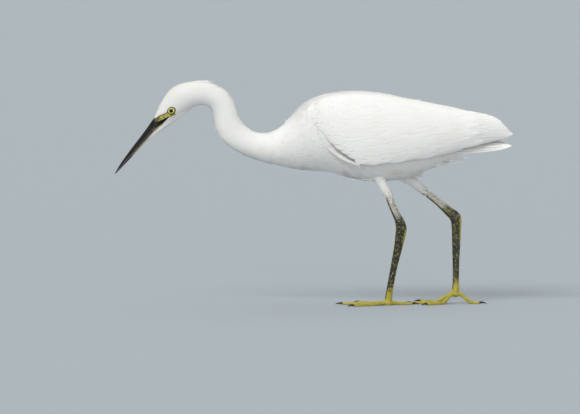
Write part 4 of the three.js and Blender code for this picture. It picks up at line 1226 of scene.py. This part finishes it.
# Scapulars: how many, x and z of the lowest and of the highest root, the same of the tips, width
SCAPULARS = [
    (13, (4, 252.0, 96, 258), (58, 258.5, 176, 247.5), 13),
    (9, (14, 262, 100, 262), (72, 262, 168, 254), 12),
]
SCAPULAR_RISE = [-4.0, -1.4, -0.5, 0.0, 0.1]
SCAPULAR_TILT = 0.15
# Flight feathers: x and z of the tips from the lowest up, and of the lowest and of the highest root
FLIGHT_TIPS = np.array([
    [226, 209.5], [238, 212], [252, 216.5], [249, 221.5], [245, 226], [241, 231], [236, 235.5], [228, 240],
    [213, 244.5]])
FLIGHT_ROOTS = (126, 191, 118, 255)
FLIGHT_COUNT = 15
FLIGHT_WIDTH = 14.0
FLIGHT_DEPTH = 4.0  # how much deeper the lowest tip lies than the highest
FLIGHT_TILT = 0.18
CORE_END = 178  # x where the core of the wing ends


def spread(ends, t):
    """The place a share t of the way between two places."""
    x0, z0, x1, z1 = ends
    return x0 + (x1 - x0) * t, z0 + (z1 - z0) * t


def wing_core(side):
    """The arm and hand under the coverts, sunk where the fold in front of the wing lies."""
    x, v = np.meshgrid(np.linspace(WING[0, 0] + 0.8, CORE_END, 60), np.linspace(0, 1, 40), indexing="ij")
    normal = wing_frame(side, x, np.clip(v, 0.02, 1))[1]
    p = wing_point(side, x, v)
    back = smooth(x, 100, 176)
    thick = 8 + (3 - 8) * back
    edge = 1 - 0.6 * np.abs(2 * v - 1) ** 4
    depth = 1.6 + 1.6 * smooth(x, 15, 60) + 3.5 * back * v
    above = p[..., 2] - np.interp(x, CREASE[:, 0], CREASE[:, 1])
    depth = depth + CREASE_DEEP * (1 - smooth(above, -1.0, 3.0)) * (x > CREASE[0, 0]) * (x < CREASE[-1, 0])
    return plate(p - normal * depth[..., None], p - normal * (depth + thick * edge)[..., None])


# Where the side of the breast overlaps the front of the wing, x and z seen from the side
CREASE = np.array([
    [2, 231], [8, 224.5], [15.9, 215.9], [24.5, 208.0], [33, 199.8], [41, 192.6], [54.6, 182.0], [70, 170]])
CREASE_WIDTH = 3.0
CREASE_DEEP = 5.0
BREAST_ROWS = (19.0, CREASE_WIDTH, -1.3)  # mm below that line of the first row, of the end, and between rows
BREAST_ROW_COUNT = 38
# Coverts of the wing: x, mm between rows, length, width
COVERTS = np.array([[-9.5, 2.4, 8, 3.8], [8, 2.9, 11, 4.8], [30, 3.6, 16, 6.2], [62, 4.6, 23, 7.6],
                    [100, 5.5, 32, 8.8], [140, 6.0, 42, 9.5], [185, 6.5, 46, 9.5]])
COVERTS_END = 172
COVERT_GAP = 0.58  # from one covert of a row to the next, as a share of their width
COVERT_STEPS = [0.0, 0.22, 0.5, 0.72, 0.87, 0.96, 1.0]
COVERT_BREADTHS = [0.4, 0.86, 1.0, 0.92, 0.7, 0.42, 0.14]


def covert_vane(name, lean, bow=0.05, thick=0.006, shaft=0.010, cup=0.10):
    """A rounded covert 1 long along Y and 1 wide, closed, five points across."""
    across = np.array([0.5, 0.26, 0.0, -0.26, -0.5])
    grids = []
    for under in (0, 1):
        rows = []
        for s, breadth in zip(COVERT_STEPS, COVERT_BREADTHS):
            rows.append([(a * breadth + lean * s * s, s, 4 * bow * s * (1 - s) - cup * a * a * (1 + s)
                          + (shaft if a == 0 else 0) - under * thick) for a in across])
        grids.append(np.array(rows))
    points, faces = plate(*grids)
    return vane_object(name, points, faces, points[:, :2] + [0.5, 0])


COVERT_VANES = collection_of("covert_vanes", [
    covert_vane(f"covert_{i}", lean) for i, lean in enumerate((0.08, -0.03, -0.09))])


def build_wing(name, side, seed):
    """The folded wing: its core, flight feathers, scapulars and, behind the fold, coverts."""
    rng = np.random.default_rng(seed)
    Shells(wing_core(side)).piece(f"wing_core_{name}", SOFT_PLUMAGE, replaced=(f"wing_{name}",))

    flights = Shells()
    for i in range(FLIGHT_COUNT):
        t = i / (FLIGHT_COUNT - 1)
        place = t * (len(FLIGHT_TIPS) - 1)
        tip = along(FLIGHT_TIPS, place) + [rng.uniform(-1, 1), 0]
        depth = FLIGHT_DEPTH * (1 - t)
        rise = [-4.8, -1.3 - 0.1 * depth, -0.7 - 0.4 * depth, -0.4 - 0.8 * depth, -0.3 - depth]
        wing_vane(flights, side, spread(FLIGHT_ROOTS, t), tip, FLIGHT_WIDTH, rise, rng, FLIGHT_TILT)
    flights.piece(f"flight_feathers_{name}", VANED_PLUMAGE)

    scapulars = Shells()
    for count, root, tip, width in SCAPULARS:
        for i in range(count):
            t = i / (count - 1)
            x, z = spread(tip, t)
            wing_vane(scapulars, side, spread(root, t), (x + rng.uniform(-3, 3), z), width, SCAPULAR_RISE,
                      rng, SCAPULAR_TILT, LANCE_END)
    scapulars.piece(f"scapulars_{name}", VANED_PLUMAGE)

    roots = Roots()
    x = WING[0, 0] + 1.0
    while x < COVERTS_END:
        step, length, width = (np.interp(x, COVERTS[:, 0], COVERTS[:, k]) for k in (1, 2, 3))
        v_line = np.linspace(0.02, 1.0, 60)
        arc = arc_along(wing_point(side, np.full(60, x), v_line))
        n = max(int(arc[-1] / (width * COVERT_GAP) * (1 - 0.6 * smooth(x, 140, COVERTS_END))), 3)
        v = np.interp((np.arange(n) + rng.uniform(0.1, 0.9)) / n * arc[-1], arc, v_line)
        at = np.maximum(x + rng.uniform(-0.3, 0.3, n) * step, WING[0, 0] + 0.3)
        reach = length * rng.uniform(0.85, 1.1, n)
        p, normal = wing_frame(side, at, np.clip(v, 0.03, 1))
        fall = 0.05 * (v - 0.3) * np.minimum(reach / 14, 1)
        tip, tip_normal = wing_frame(side, at + reach, np.clip(v - fall * 0.3, 0.03, 1))
        sunk = (0.3 + 1.5 * v) * smooth(x, 105, 165)
        rise = (rng.uniform(0.0, 0.3, n) - sunk)[:, None]
        root = p - normal * (1.2 + length * 0.05 + sunk)[:, None]
        uv = np.stack([unwrapped(at + 10, 270), unwrapped(v)], -1)
        roots.add(root, tip + tip_normal * rise, normal, width * rng.uniform(0.9, 1.15, n), uv)
        x += step
    roots.keep(lambda root, tip: root[:, 2] > np.interp(root[:, 0], CREASE[:, 0], CREASE[:, 1]))
    roots.lay(f"coverts_{name}", seed, COVERT_VANES, yaw=4, soften=0.64)


# Plumes across the fold: x and z of root and of tip, width, height over the wing
BREAST_PLUMES = [
    ((12, 206), (44, 185.0), 1.5, 0.4),
    ((14, 203), (40, 186.0), 1.3, 0.8),
    ((18, 218), (27, 207.0), 1.1, 0.9),
    ((10, 209), (33, 191.5), 1.2, 0.9),
]


def build_breast_side(name, side, seed):
    """Feathers of the side of the breast that lie over the front of the wing, with a fold behind them."""
    rng = np.random.default_rng(seed)
    roots = Roots()
    for below in np.arange(*BREAST_ROWS):
        n = BREAST_ROW_COUNT
        t = np.linspace(0.0, 5.9, n) + rng.uniform(-0.08, 0.08, n)
        hollow = 3.0 * np.exp(-((t - 3.4) / 1.4) ** 2)
        line, ahead = along(CREASE, t), along(CREASE, t + 0.1)
        way = unit(ahead - line)
        down = np.stack([way[:, 1], -way[:, 0]], -1)
        start = line + down * (below + hollow + rng.uniform(-0.5, 0.5, n))[:, None]
        end = start + way * rng.uniform(9.5, 13.5, n)[:, None] + down * 0.8
        v0, v1 = (wing_across(*at.T) for at in (start, end))
        inside = v0 > 0.02
        start, end, v0, v1 = start[inside], end[inside], v0[inside], v1[inside]
        on_body = float(smooth(below, 3.0, 11.0))
        ends = []
        for at, v in ((start, v0), (end, v1)):
            p, normal = wing_frame(side, at[:, 0], np.clip(v, 0.03, 1))
            body_p, body_normal = torso_side(side, *at.T)
            ends += [p + (body_p - p) * on_body, unit(normal + (body_normal - normal) * on_body)]
        p, normal, tip, tip_normal = ends
        count = len(p)
        uv = np.stack([unwrapped(start[:, 0] + 10, 270), 0.02 + 0.9 * np.clip(v0, 0, 1)], -1)
        sunk = 0.9 * float(smooth(below, 10.0, 18.0))
        tip = tip + tip_normal * (rng.uniform(0.0, 0.6, (count, 1)) - sunk)
        roots.add(p - normal * (1.6 + sunk), tip, normal, rng.uniform(2.3, 3.1, count), uv)
    roots.lay(f"breast_side_{name}", seed, yaw=6)

    plumes = Shells()
    for root, tip, width, rise in BREAST_PLUMES:
        wing_vane(plumes, side, root, tip, width, [-1.5, rise, rise, rise, rise * 0.5], rng,
                  tilt=0.3, form=LANCE_END)
    plumes.piece(f"breast_plumes_{name}", PLUME)


# Tail

TAIL_ROOT = np.array([161.0, 0.0, 197.5])
# Rings of the fleshy root of the tail: mm from its start, half width, half height
TAIL_FLESH = ((0, 9, 5), (8, 10.5, 4.4), (20, 10, 3), (30, 6, 1.6))
TAIL_PAIRS = 6
TAIL_CUP = 0.08


def free_vane(shells, root, tip, facing, width, rng, bow, cup=0.0, shade=None):
    """A long feather that stands free, from root to tip, bowed towards the way it faces and cupped across."""
    root, tip = np.array(root, float), np.array(tip, float)
    way = unit(tip - root)
    across = unit(np.cross(way, facing))
    face = np.cross(across, way)

    def point_at(s, off):
        p = root + (tip - root) * s[..., None] + face * (bow * (1 - (2 * s - 1) ** 4))[..., None]
        return p + across * off[..., None] - face * (cup * np.abs(off))[..., None]

    home = (0.5 + 0.02 * root[1], unwrapped(root[2] - 170, 100))
    long_vane(shells, point_at, lambda s, off: np.broadcast_to(face, s.shape + (3,)), width / 2, TAPER_END,
              [0] * len(RISE_STOPS), 0.0, rng, home, shade)


def build_tail():
    """The tail: pairs of feathers from the middle pair, on top, out to the lowest."""
    rng = np.random.default_rng(61)
    turn = full_turn(24)
    rings = []
    for a, half, deep in TAIL_FLESH:
        ring = np.stack([0 * turn, half * np.cos(turn), deep * np.sin(turn)], -1)
        rings.append(TAIL_ROOT + [a, 0, 0.09 * a - 1.5] + ring)
    shells = Shells(loft(np.array(rings)))
    for pair in range(TAIL_PAIRS):
        t = pair / (TAIL_PAIRS - 1)
        for side in (-1, 1):
            root = TAIL_ROOT + [6, side * (0.8 + 7.5 * t), 5.5 - 7.5 * t]
            tip = (246.5 + 4.5 * t, side * (1.2 + 10.5 * t), 204.5 - 1.5 * t)
            free_vane(shells, root, tip, (0, side * 1.6 * t * t, 1), 12.5 - 2.0 * t, rng,
                      bow=6.5 * (1 - t), cup=TAIL_CUP, shade=(0, side, 0.5))
    shells.piece("tail_feathers", VANED_PLUMAGE, replaced=("tail",))


# Plumes that close the gap between the wings and the hollow under the tail:
# x, y and z of root and of tip, width, whether they face up or down
RUMP_PLUMES = [
    (104, 6.0, 263.5, 190, 4.0, 247.0, 13.0, 1),
    (112, 3.0, 259.5, 206, 2.2, 243.2, 13.0, 1),
    (132, 3.0, 250.0, 226, 3.0, 236.5, 16.0, 1),
    (138, 4.0, 243.0, 238, 4.0, 228.5, 17.0, 1),
    (142, 4.0, 234.0, 242, 5.0, 220.5, 18.0, 1),
    (146, 4.0, 225.0, 243, 5.0, 213.0, 18.0, 1),
    (158, 3.0, 193.0, 226, 3.4, 201.5, 11.0, -1),
]


def build_rump_plumes():
    rng = np.random.default_rng(67)
    shells = Shells()
    for x0, y0, z0, x1, y1, z1, width, up in RUMP_PLUMES:
        for side in (-1, 1):
            for shift in (-1.5, 1.5):
                root = (x0 + rng.uniform(-2, 2), side * (y0 + shift), z0)
                tip = (x1 + rng.uniform(-4, 4), side * (y1 + shift), z1 - 0.3 * shift)
                free_vane(shells, root, tip, (0, side * 0.2, up), width, rng, bow=1.2)
    shells.piece("rump_plumes", VANED_PLUMAGE)


# Bill, face and eyes

BILL_BASE = np.array([-201.2, 226.2])
BILL_TIP = np.array([-251.8, 167.0])
BILL_WAY = (BILL_TIP - BILL_BASE) / np.linalg.norm(BILL_TIP - BILL_BASE)
BILL_UP = np.array([BILL_WAY[1], -BILL_WAY[0]])
# The bill: distance from its root, half width, height of the upper half, depth of the lower half
BILL = np.array([
    [-12, 4.6, 7.6, 5.2],
    [-4, 5.3, 7.7, 5.0],
    [6, 4.8, 6.7, 4.0],
    [22, 3.9, 5.6, 3.2],
    [38, 3.2, 4.8, 2.7],
    [54, 2.3, 3.7, 1.9],
    [64, 1.7, 2.7, 1.4],
    [72, 1.0, 1.4, 0.9],
    [77.9, 0.3, 0.35, 0.35],
])
HALF_GAP = 0.12  # how far each half of the bill ends from the line between the halves
NOSTRIL = 4.5  # mm from the root of the bill, and half its length
GROOVE_TURN = 42  # degrees round the side of the bill


def bill_point(a, y, up):
    """The place a mm along the bill's middle line, y mm aside and up mm over it."""
    flat = BILL_BASE + BILL_WAY * np.asarray(a)[..., None] + BILL_UP * np.asarray(up)[..., None]
    return np.stack([flat[..., 0], np.broadcast_to(y, flat[..., 0].shape), flat[..., 1]], -1)


def build_bill(upper):
    """The upper half of the bill with nostril and groove, or the lower half with its paler strip."""
    name, slot, node = ("bill_upper_horn", "bill_black", "bill_upper") if upper else (
        "bill_lower_horn", "bill_pale", "bill_lower")
    stops, floor_sides = 130, 15
    turn = np.linspace(0, math.pi, 33)[None, :]
    row = along(BILL, np.linspace(0, len(BILL) - 1, stops))
    a, half, height = (row[:, k, None] for k in (0, 1, 2 if upper else 3))
    cosine, sine = np.cos(turn), np.sin(turn)
    y = half * np.sign(cosine) * np.abs(cosine) ** 0.85
    up = 0.15 + height * np.abs(sine) ** 1.1
    side_turn = np.degrees(np.arcsin(np.clip(sine, 0, 1)))
    groove = np.exp(-((side_turn - GROOVE_TURN) / 9) ** 2) * smooth(a, 52, 30)
    slit = np.exp(-((side_turn - 40) / 6) ** 2 - ((a - NOSTRIL) / NOSTRIL) ** 2)
    if upper:
        y = y * (1 - 0.11 * groove - 0.14 * slit)
        up = up * (1 + 0.03 * np.exp(-((side_turn - 90) / 12) ** 2))
    else:
        y = y * (1 - 0.05 * np.exp(-((side_turn - 25) / 10) ** 2) * smooth(a, 60, 40))
    rings = bill_point(np.broadcast_to(a, y.shape), y, up if upper else -up)
    floor = (stops, floor_sides)
    floor_row = bill_point(np.broadcast_to(a, floor), half * np.linspace(-0.93, 0.93, floor_sides),
                           np.full(floor, HALF_GAP if upper else -HALF_GAP))
    mesh = Shells(loft(np.concatenate([rings, floor_row], 1))).mesh(name)
    at = (coordinates(mesh) - SHIFT) / MM
    flat = at[:, [0, 2]] - BILL_BASE
    along_bill, rise = flat @ BILL_WAY, flat @ BILL_UP
    if upper:
        pale = 0 * rise
    else:
        depth = np.interp(along_bill, BILL[:, 0], BILL[:, 3])
        pale = smooth(-rise / depth, 0.35, 0.6) * smooth(along_bill, 58, 36) * 0.95
    mark(mesh, "pale", pale)
    piece(name, mesh, BLACK_HORN, (node,))


def skin_plate(side, flat, out, depth):
    """A plate on the side of the head, seen at flat, its outside moved out by some mm, its back this deep."""
    x, z = flat[..., 0], flat[..., 1]
    return plate(head_side(side, x, z, out), head_side(side, x, z, np.full(x.shape, -depth)))


def build_face(name, side):
    """The bare lore, the dark gape and the strip of skin along the jaw."""
    t = np.linspace(0, 1, 90)
    upper, lower = (along(line, t * (len(line) - 1)) for line in (LORE_UPPER, LORE_LOWER))
    w = np.linspace(0, 1, 34)[None, :, None]
    flat = upper[:, None] * (1 - w) + lower[:, None] * w
    across = np.broadcast_to(w[..., 0], flat.shape[:2])
    ripple = 0.10 * wander(flat[..., 0] * 1.1, flat[..., 1] * 2.0, 3)
    crease = -0.28 * np.exp(-((across - 0.55) / 0.09) ** 2) * (1 - t)[:, None]
    edge = np.abs(2 * across - 1) ** 6
    out = -0.08 - 0.25 * edge + ripple + crease
    mesh = Shells(skin_plate(side, flat, out, 1.8)).mesh(f"lore_{name}")
    border = smooth(0.26 - across, 0.0, 0.12) * smooth(1 - t, 0.15, 0.4)[:, None]
    border = np.maximum(border, 0.85 * smooth(0.36 - t, 0.0, 0.26)[:, None])
    mark(mesh, "border", np.concatenate([border.ravel(), border.ravel()]))
    piece(f"lore_{name}", mesh, LORE_SKIN)

    stops = 60
    for part, (line, widths), finish, slot in (("gape", GAPE, BLACK_HORN, "bill_black"),
                                               ("jaw_skin", JAW, JAW_SKIN, "yellow_skin")):
        line = along(line, np.linspace(0, len(line) - 1, stops))
        way = unit(np.gradient(line, axis=0))
        across_way = np.stack([-way[:, 1], way[:, 0]], -1)
        half = np.interp(np.linspace(0, len(widths) - 1, stops), range(len(widths)), widths)
        w = np.linspace(-1, 1, 9)
        flat = line[:, None] + across_way[:, None] * (half[:, None] * w[None, :])[..., None]
        out = 0.3 * (1 - w ** 2)[None, :] * np.ones((stops, 1))
        if part == "gape":
            out = out - 0.25 * np.exp(-(w / 0.16) ** 2)[None, :]
        Shells(skin_plate(side, flat, out, 1.6)).piece(f"{part}_{name}", finish, slot)


# The section of the lid, from the eyeball out and back under the face: reach, which is 1 on the dark line
# round the eye, how far it follows the face instead of the eyeball, height over them in mm
LID_SECTION = [
    (0.85, 0, -0.6), (0.855, 0, 0.12), (0.875, 0, 0.32), (0.90, 0.05, 0.42), (0.94, 0.1, 0.46),
    (0.98, 0.2, 0.42), (1.02, 0.35, 0.36), (1.06, 0.55, 0.3), (1.10, 0.75, 0.2), (1.16, 0.95, 0.0),
    (1.24, 1, -0.5), (1.2, 1, -1.8), (0.95, 0.2, -1.6)]
LID_WRINKLES = 23


def build_eye(name, side):
    """The eyeball and the lid round it, a ring of skin."""
    centre = EYE_CENTRE * [1, side, 1]
    turn = full_turn(72)
    rise = np.linspace(-math.pi / 2, math.pi / 2, 42)[1:-1]
    rings = np.stack([EYE_RADIUS * np.cos(rise)[:, None] * np.cos(turn)[None, :],
                      EYE_RADIUS * np.sin(rise)[:, None] * np.ones((1, 72)),
                      EYE_RADIUS * np.cos(rise)[:, None] * np.sin(turn)[None, :]], -1) + centre
    finish = eyeball(f"yellow_eye_{name}", side)
    Shells(loft(rings)).piece(f"eyeball_{name}", finish, "eye", (f"eye_{name}",))

    angle = full_turn(96)
    rings = []
    for reach, share, out in LID_SECTION:
        wrinkle = 0.04 * np.sin(angle * LID_WRINKLES + 2 * reach) * (reach > 0.9) * (reach < 1.22)
        long, high = LID_HALF[0] * reach * np.cos(angle), LID_HALF[1] * reach * np.sin(angle)
        x = EYE_CENTRE[0] + long * math.cos(LID_TILT) - high * math.sin(LID_TILT)
        z = EYE_CENTRE[2] + long * math.sin(LID_TILT) + high * math.cos(LID_TILT)
        inside = EYE_RADIUS ** 2 - (x - EYE_CENTRE[0]) ** 2 - (z - EYE_CENTRE[2]) ** 2
        ball_y = EYE_CENTRE[1] + np.sqrt(np.maximum(inside, 0))
        face_y = head_side(1, x, z)[:, 1]
        over_ball = ball_y + 0.25 if 0.86 < reach < 1.14 else -np.inf
        y = np.maximum(ball_y * (1 - share) + face_y * share, over_ball - out) + out + wrinkle
        rings.append(np.stack([x, side * y, z], -1))
    ring = np.array(rings)
    count, around = ring.shape[:2]
    faces = [(i * around + j, i * around + (j + 1) % around, (i + 1) % count * around + (j + 1) % around,
              (i + 1) % count * around + j) for i in range(count) for j in range(around)]
    mesh = Shells((ring.reshape(-1, 3), faces)).mesh(f"eyelid_{name}")
    margin = [(reach < 0.88) + 0.8 * (reach > 1.0) for reach, _, _ in LID_SECTION]
    mark(mesh, "margin", np.repeat(margin, around))
    piece(f"eyelid_{name}", mesh, LID_SKIN)


# Legs and feet

def foot_centre(rows, side):
    """The middle of the ball of the foot, from which the toes start."""
    x, y, z = rows[-1, :3]
    return np.array([x - 0.5, side * y, max(z - 4.6, 3.0)])


def toe_path(rows, side, toe, s):
    """The line of a toe from the foot to the root of its claw."""
    _, heading, length = toe
    centre = foot_centre(rows, side)
    turn = math.radians(heading)
    drop = 1 - smooth(s, 0, 0.7 if abs(heading) > 90 else 0.45)
    reach = 3 + (length - 3) * s
    low = (TOE_RADIUS + (1.7 - TOE_RADIUS) * s) * 0.8
    return np.stack([centre[0] - reach * math.cos(turn), centre[1] - side * reach * math.sin(turn),
                     low + (centre[2] - low) * drop], -1)


def toe_radius(toe, s):
    """The toe's radius, which swells at its joints."""
    joints = 2 if toe[0] == "hind" else 3
    return (TOE_RADIUS + (TOE_END_RADIUS - TOE_RADIUS) * s) * (1 + 0.11 * np.cos(2 * math.pi * joints * s))


def path_frame(path, s, step=0.02):
    """Ways along, across and over a path at s."""
    way = unit(path(np.minimum(s + step, 1)) - path(np.maximum(s - step, 0)))
    across = unit(np.cross(way, [0, 0, 1]))
    return way, across, np.cross(across, way)


def rings_on_path(path, radius, stops, sides, flatten=1.0):
    _, across, over = path_frame(path, stops)
    return rings_round(path(stops), across, over, radius, radius * flatten, sides)


def ball_rings(radius, centre, scale, count=14, sides=28):
    rise = np.linspace(-math.pi / 2, math.pi / 2, count + 2)[1:-1]
    rise, turn = np.meshgrid(rise, full_turn(sides), indexing="ij")
    rings = np.stack([np.cos(rise) * np.cos(turn), np.cos(rise) * np.sin(turn), np.sin(rise)], -1)
    return rings * radius * np.array(scale) + centre


SKIN_VOXEL = 0.5
SKIN_OVER_FLOOR = 0.02


def fused(shells, name):
    """One smooth closed skin from shells that cross, resting on the floor."""
    def prepare(obj):
        voxels = obj.modifiers.new("fuse", "REMESH")
        voxels.mode = "VOXEL"
        voxels.voxel_size = SKIN_VOXEL * MM
        voxels.use_smooth_shade = True
        even = obj.modifiers.new("even", "SMOOTH")
        even.factor = 0.5
        even.iterations = 3

    mesh = evaluated(shells.mesh(name), prepare)
    at = coordinates(mesh)
    at[:, 2] = np.maximum(at[:, 2], SHIFT[2] + SKIN_OVER_FLOOR * MM)
    mesh.vertices.foreach_set("co", at.astype(np.float32).ravel())
    mesh.update()
    return mesh


PALE_TO = {-1: (2.4, 4.9), 1: (2.9, 4.4)}  # between which rows the pale shin ends, by side
YELLOW_FROM = (2.7, 1.1)  # between which rows from a leg's last the yellow of the foot starts


def mark_leg(mesh, rows, side):
    """Where the skin is yellow (feet, back edge of the shank below the heel) and where pale (upper shin)."""
    at = (coordinates(mesh) - SHIFT) / MM
    stops = np.linspace(THIGH_END, len(rows) - 1, 200)
    middle, behind, _, fore, *_ = leg_row(rows, side, stops)
    nearest = np.concatenate([np.argmin(((part[:, None] - middle[None]) ** 2).sum(-1), axis=1)
                              for part in np.array_split(at, 40)])
    u = stops[nearest]
    rearward = ((at - middle[nearest]) * behind[nearest]).sum(-1) / fore[nearest]
    noise = wander(at[:, 0] * 0.5 + at[:, 1], at[:, 2] * 0.45, 5)
    near_foot = smooth(u + 0.35 * noise, *(len(rows) - rows_left for rows_left in YELLOW_FROM))
    back_edge = smooth(rearward, 0.35, 0.9) * smooth(u, 4.9, 5.4) * (1 - 0.7 * smooth(u, 6.2, 7.5))
    pale = 1 - smooth(u + 0.3 * noise, *PALE_TO[side])
    pale = pale * (1 - 0.95 * smooth(-rearward, 0.45, 0.8) * smooth(u, 2.1, 2.5))
    mark(mesh, "yellow", np.clip(near_foot + back_edge, 0, 1))
    mark(mesh, "pale", pale)


def scute(name):
    """A plate 1 long along Y and 1 wide, arched across, that rises to its free end, closed."""
    across = np.linspace(0.5, -0.5, 7)
    grids = []
    for under in (0, 1):
        grids.append(np.array([
            [(a * (0.92 + 0.16 * (s - s * s)), s, -1.15 * a * a + rise - 0.05 * under) for a in across]
            for s, rise in ((0, -0.03), (0.35, 0.02), (0.8, 0.05), (1.0, 0.01))]))
    points, faces = plate(*grids)
    return vane_object(name, points, faces, points[:, :2])


SCUTES = collection_of("scutes", [scute("scute")])


FOOT_BALL = 5.2
KNUCKLE_BALL = 5.1
SCUTES_START = 5.9  # the row of a leg where the plates of its front start
SCUTE_STEP = 0.115  # rows from one plate to the next
TOE_SCUTE_STEP = 2.35  # mm from one plate to the next
CLAW_RADII = (1.45, 0.22)


def claw_line(end, way, s):
    """The middle line of a claw that bends down to the floor from the end of its toe."""
    return (end + way * (CLAW_LENGTH * s - 0.6)[..., None]
            + np.array([0, 0, 1]) * (0.6 + 1.6 * s - 2.9 * s * s)[..., None])


def build_leg(name, side, seed):
    """The skin of a leg and its toes in one, the plates on its front and on the toes, and the claws."""
    rows = LEGS[name]
    paths = [partial(toe_path, rows, side, toe) for toe in TOES]
    knuckle = rows[-1, :3] * [1, side, 1] - [0.2, 0, 1.0]
    parts = [leg_rings(rows, side, np.linspace(THIGH_END, len(rows) - 1, 160), 30),
             ball_rings(FOOT_BALL, foot_centre(rows, side), (1.08, 0.98, 0.9)),
             ball_rings(KNUCKLE_BALL, knuckle, (1.0, 0.96, 1.0))]
    stops = np.linspace(0, 1, 60)
    parts += [rings_on_path(path, toe_radius(toe, stops), stops, 20) for toe, path in zip(TOES, paths)]
    mesh = fused(Shells(*map(loft, parts)), f"leg_skin_{name}")
    mark_leg(mesh, rows, side)
    replaced = ["tibia", "tarsus", "foot"] + [f"toe_{toe[0]}" for toe in TOES]
    piece(f"leg_skin_{name}", mesh, LEG_SKIN, [f"{part}_{name}" for part in replaced])

    front = Roots()
    stops = np.arange(SCUTES_START, len(rows) - 1.25, SCUTE_STEP)
    middle, rearward, _, fore, wide, way = leg_row(rows, side, stops)
    facing = rearward * np.sign(-rearward[:, :1])
    gap = np.gradient(np.linalg.norm(np.diff(middle, axis=0, prepend=middle[:1]), axis=1).cumsum())
    sunk = 0.12 + 0.7 * (1 - smooth(stops, SCUTES_START, SCUTES_START + 0.6))
    start = middle + facing * (fore - sunk)[:, None]
    front.add(start, start + way * (gap * 1.12)[:, None], facing, wide * 1.75, (0.5, 0.5))
    front.lay(f"shank_scutes_{name}", seed, SCUTES, LEG_SKIN, "leg_skin", yaw=2, roll=1)

    tops = Roots()
    for toe, path in zip(TOES, paths):
        stops = np.arange(0.12, 0.985, TOE_SCUTE_STEP / toe[2])
        way, _, over = path_frame(path, stops)
        radius = toe_radius(toe, stops)
        start = path(stops) + over * (radius - 0.1)[:, None]
        tops.add(start, start + way * 2.6, over, radius * 1.7, (0.5, 0.5))
    tops.lay(f"toe_scutes_{name}", seed + 1, SCUTES, YELLOW_SKIN, "yellow_skin", yaw=2, roll=1)

    stops = np.linspace(0, 1, 24)
    first, last = CLAW_RADII
    for toe, path in zip(TOES, paths):
        end = path(np.array(1.0))
        way = unit((end - path(np.array(0.96))) * [1, 1, 0])
        rings = rings_on_path(partial(claw_line, end, way), first + (last - first) * stops ** 1.3, stops, 14,
                              flatten=1.1)
        rings[..., 2] = np.maximum(rings[..., 2], 0.03)
        Shells(loft(rings)).piece(f"claw_horn_{toe[0]}_{name}", CLAW_HORN, "claw", (f"claw_{toe[0]}_{name}",))


# Assembly

build_body_skin()
build_coat()
build_chin_coat()
build_thigh_coats()
build_wisps()
build_tail()
build_rump_plumes()
build_bill(True)
build_bill(False)
for index, (name, side) in enumerate(SIDES.items()):
    build_wing(name, side, 50 + index)
    build_breast_side(name, side, 90 + index)
    build_face(name, side)
    build_eye(name, side)
    build_leg(name, side, 70 + 10 * index)


# Stage, light and camera

FLOOR_REACH = 60.0  # metres
# Lights: way to them, breadth in radians, strength, colour
LIGHTS = {
    "soft_key": ((-0.42, -0.62, 0.76), 0.5, 1.6, (1.0, 0.985, 0.96)),
    "soft_fill": ((0.05, -1.0, 0.04), 0.9, 1.05, (1.0, 0.99, 0.97)),
    "soft_top": ((0.35, 0.45, 0.9), 0.9, 0.35, (0.95, 0.98, 1.0)),
}


def put(name, data):
    """A new object with this data, in the scene."""
    obj = bpy.data.objects.new(name, data)
    bpy.context.scene.collection.objects.link(obj)
    return obj


def floor_and_light():
    mesh = bpy.data.meshes.new("floor")
    corners = [(-1, -1), (1, -1), (1, 1), (-1, 1)]
    mesh.from_pydata([(x * FLOOR_REACH, y * FLOOR_REACH, 0) for x, y in corners], [], [(0, 1, 2, 3)])
    ground = put("floor", mesh)
    nodes = Nodes("pale_floor")
    nodes.set(Base_Color=rgb(0.38, 0.42, 0.45), Roughness=0.9, Specular_IOR_Level=0.1)
    mesh.materials.append(nodes.material)

    world = bpy.data.worlds.new("studio")
    world.use_nodes = True
    background = world.node_tree.nodes["Background"]
    background.inputs["Color"].default_value = rgb(0.87, 0.89, 0.90)
    background.inputs["Strength"].default_value = 0.7
    bpy.context.scene.world = world
    bpy.context.scene.view_settings.view_transform = "Standard"

    for name, (way, breadth, strength, colour) in LIGHTS.items():
        light = bpy.data.lights.new(name, "SUN")
        light.angle, light.energy, light.color = breadth, strength, colour
        lamp = put(name, light)
        lamp.location = way
        lamp.rotation_euler = (-Vector(way)).to_track_quat("-Z", "Y").to_euler()


# The photograph's frame: 580 pixels wide at 1.27 mm each, seen from far off and a little above
PICTURE_WIDTH = 736.6 * MM
PICTURE_MIDDLE = np.array([-29.8, 0.0, 124.5]) * MM
CAMERA_DISTANCE = 6.0
CAMERA_RISE = math.radians(4.0)


def place_camera():
    data = bpy.data.cameras.new("camera")
    data.sensor_width = 36.0
    data.lens = data.sensor_width * CAMERA_DISTANCE / PICTURE_WIDTH
    data.clip_end = 200.0
    camera = put("camera", data)
    target = Vector(PICTURE_MIDDLE + SHIFT)
    back = Vector((0, -math.cos(CAMERA_RISE), math.sin(CAMERA_RISE)))
    camera.location = target + back * CAMERA_DISTANCE
    camera.rotation_euler = (-back).to_track_quat("-Z", "Y").to_euler()
    bpy.context.scene.camera = camera


floor_and_light()
place_camera()

for group in (SMALL_VANES, COVERT_VANES, SCUTES):
    for source in list(group.objects):
        bpy.data.objects.remove(source)
    bpy.data.collections.remove(group)
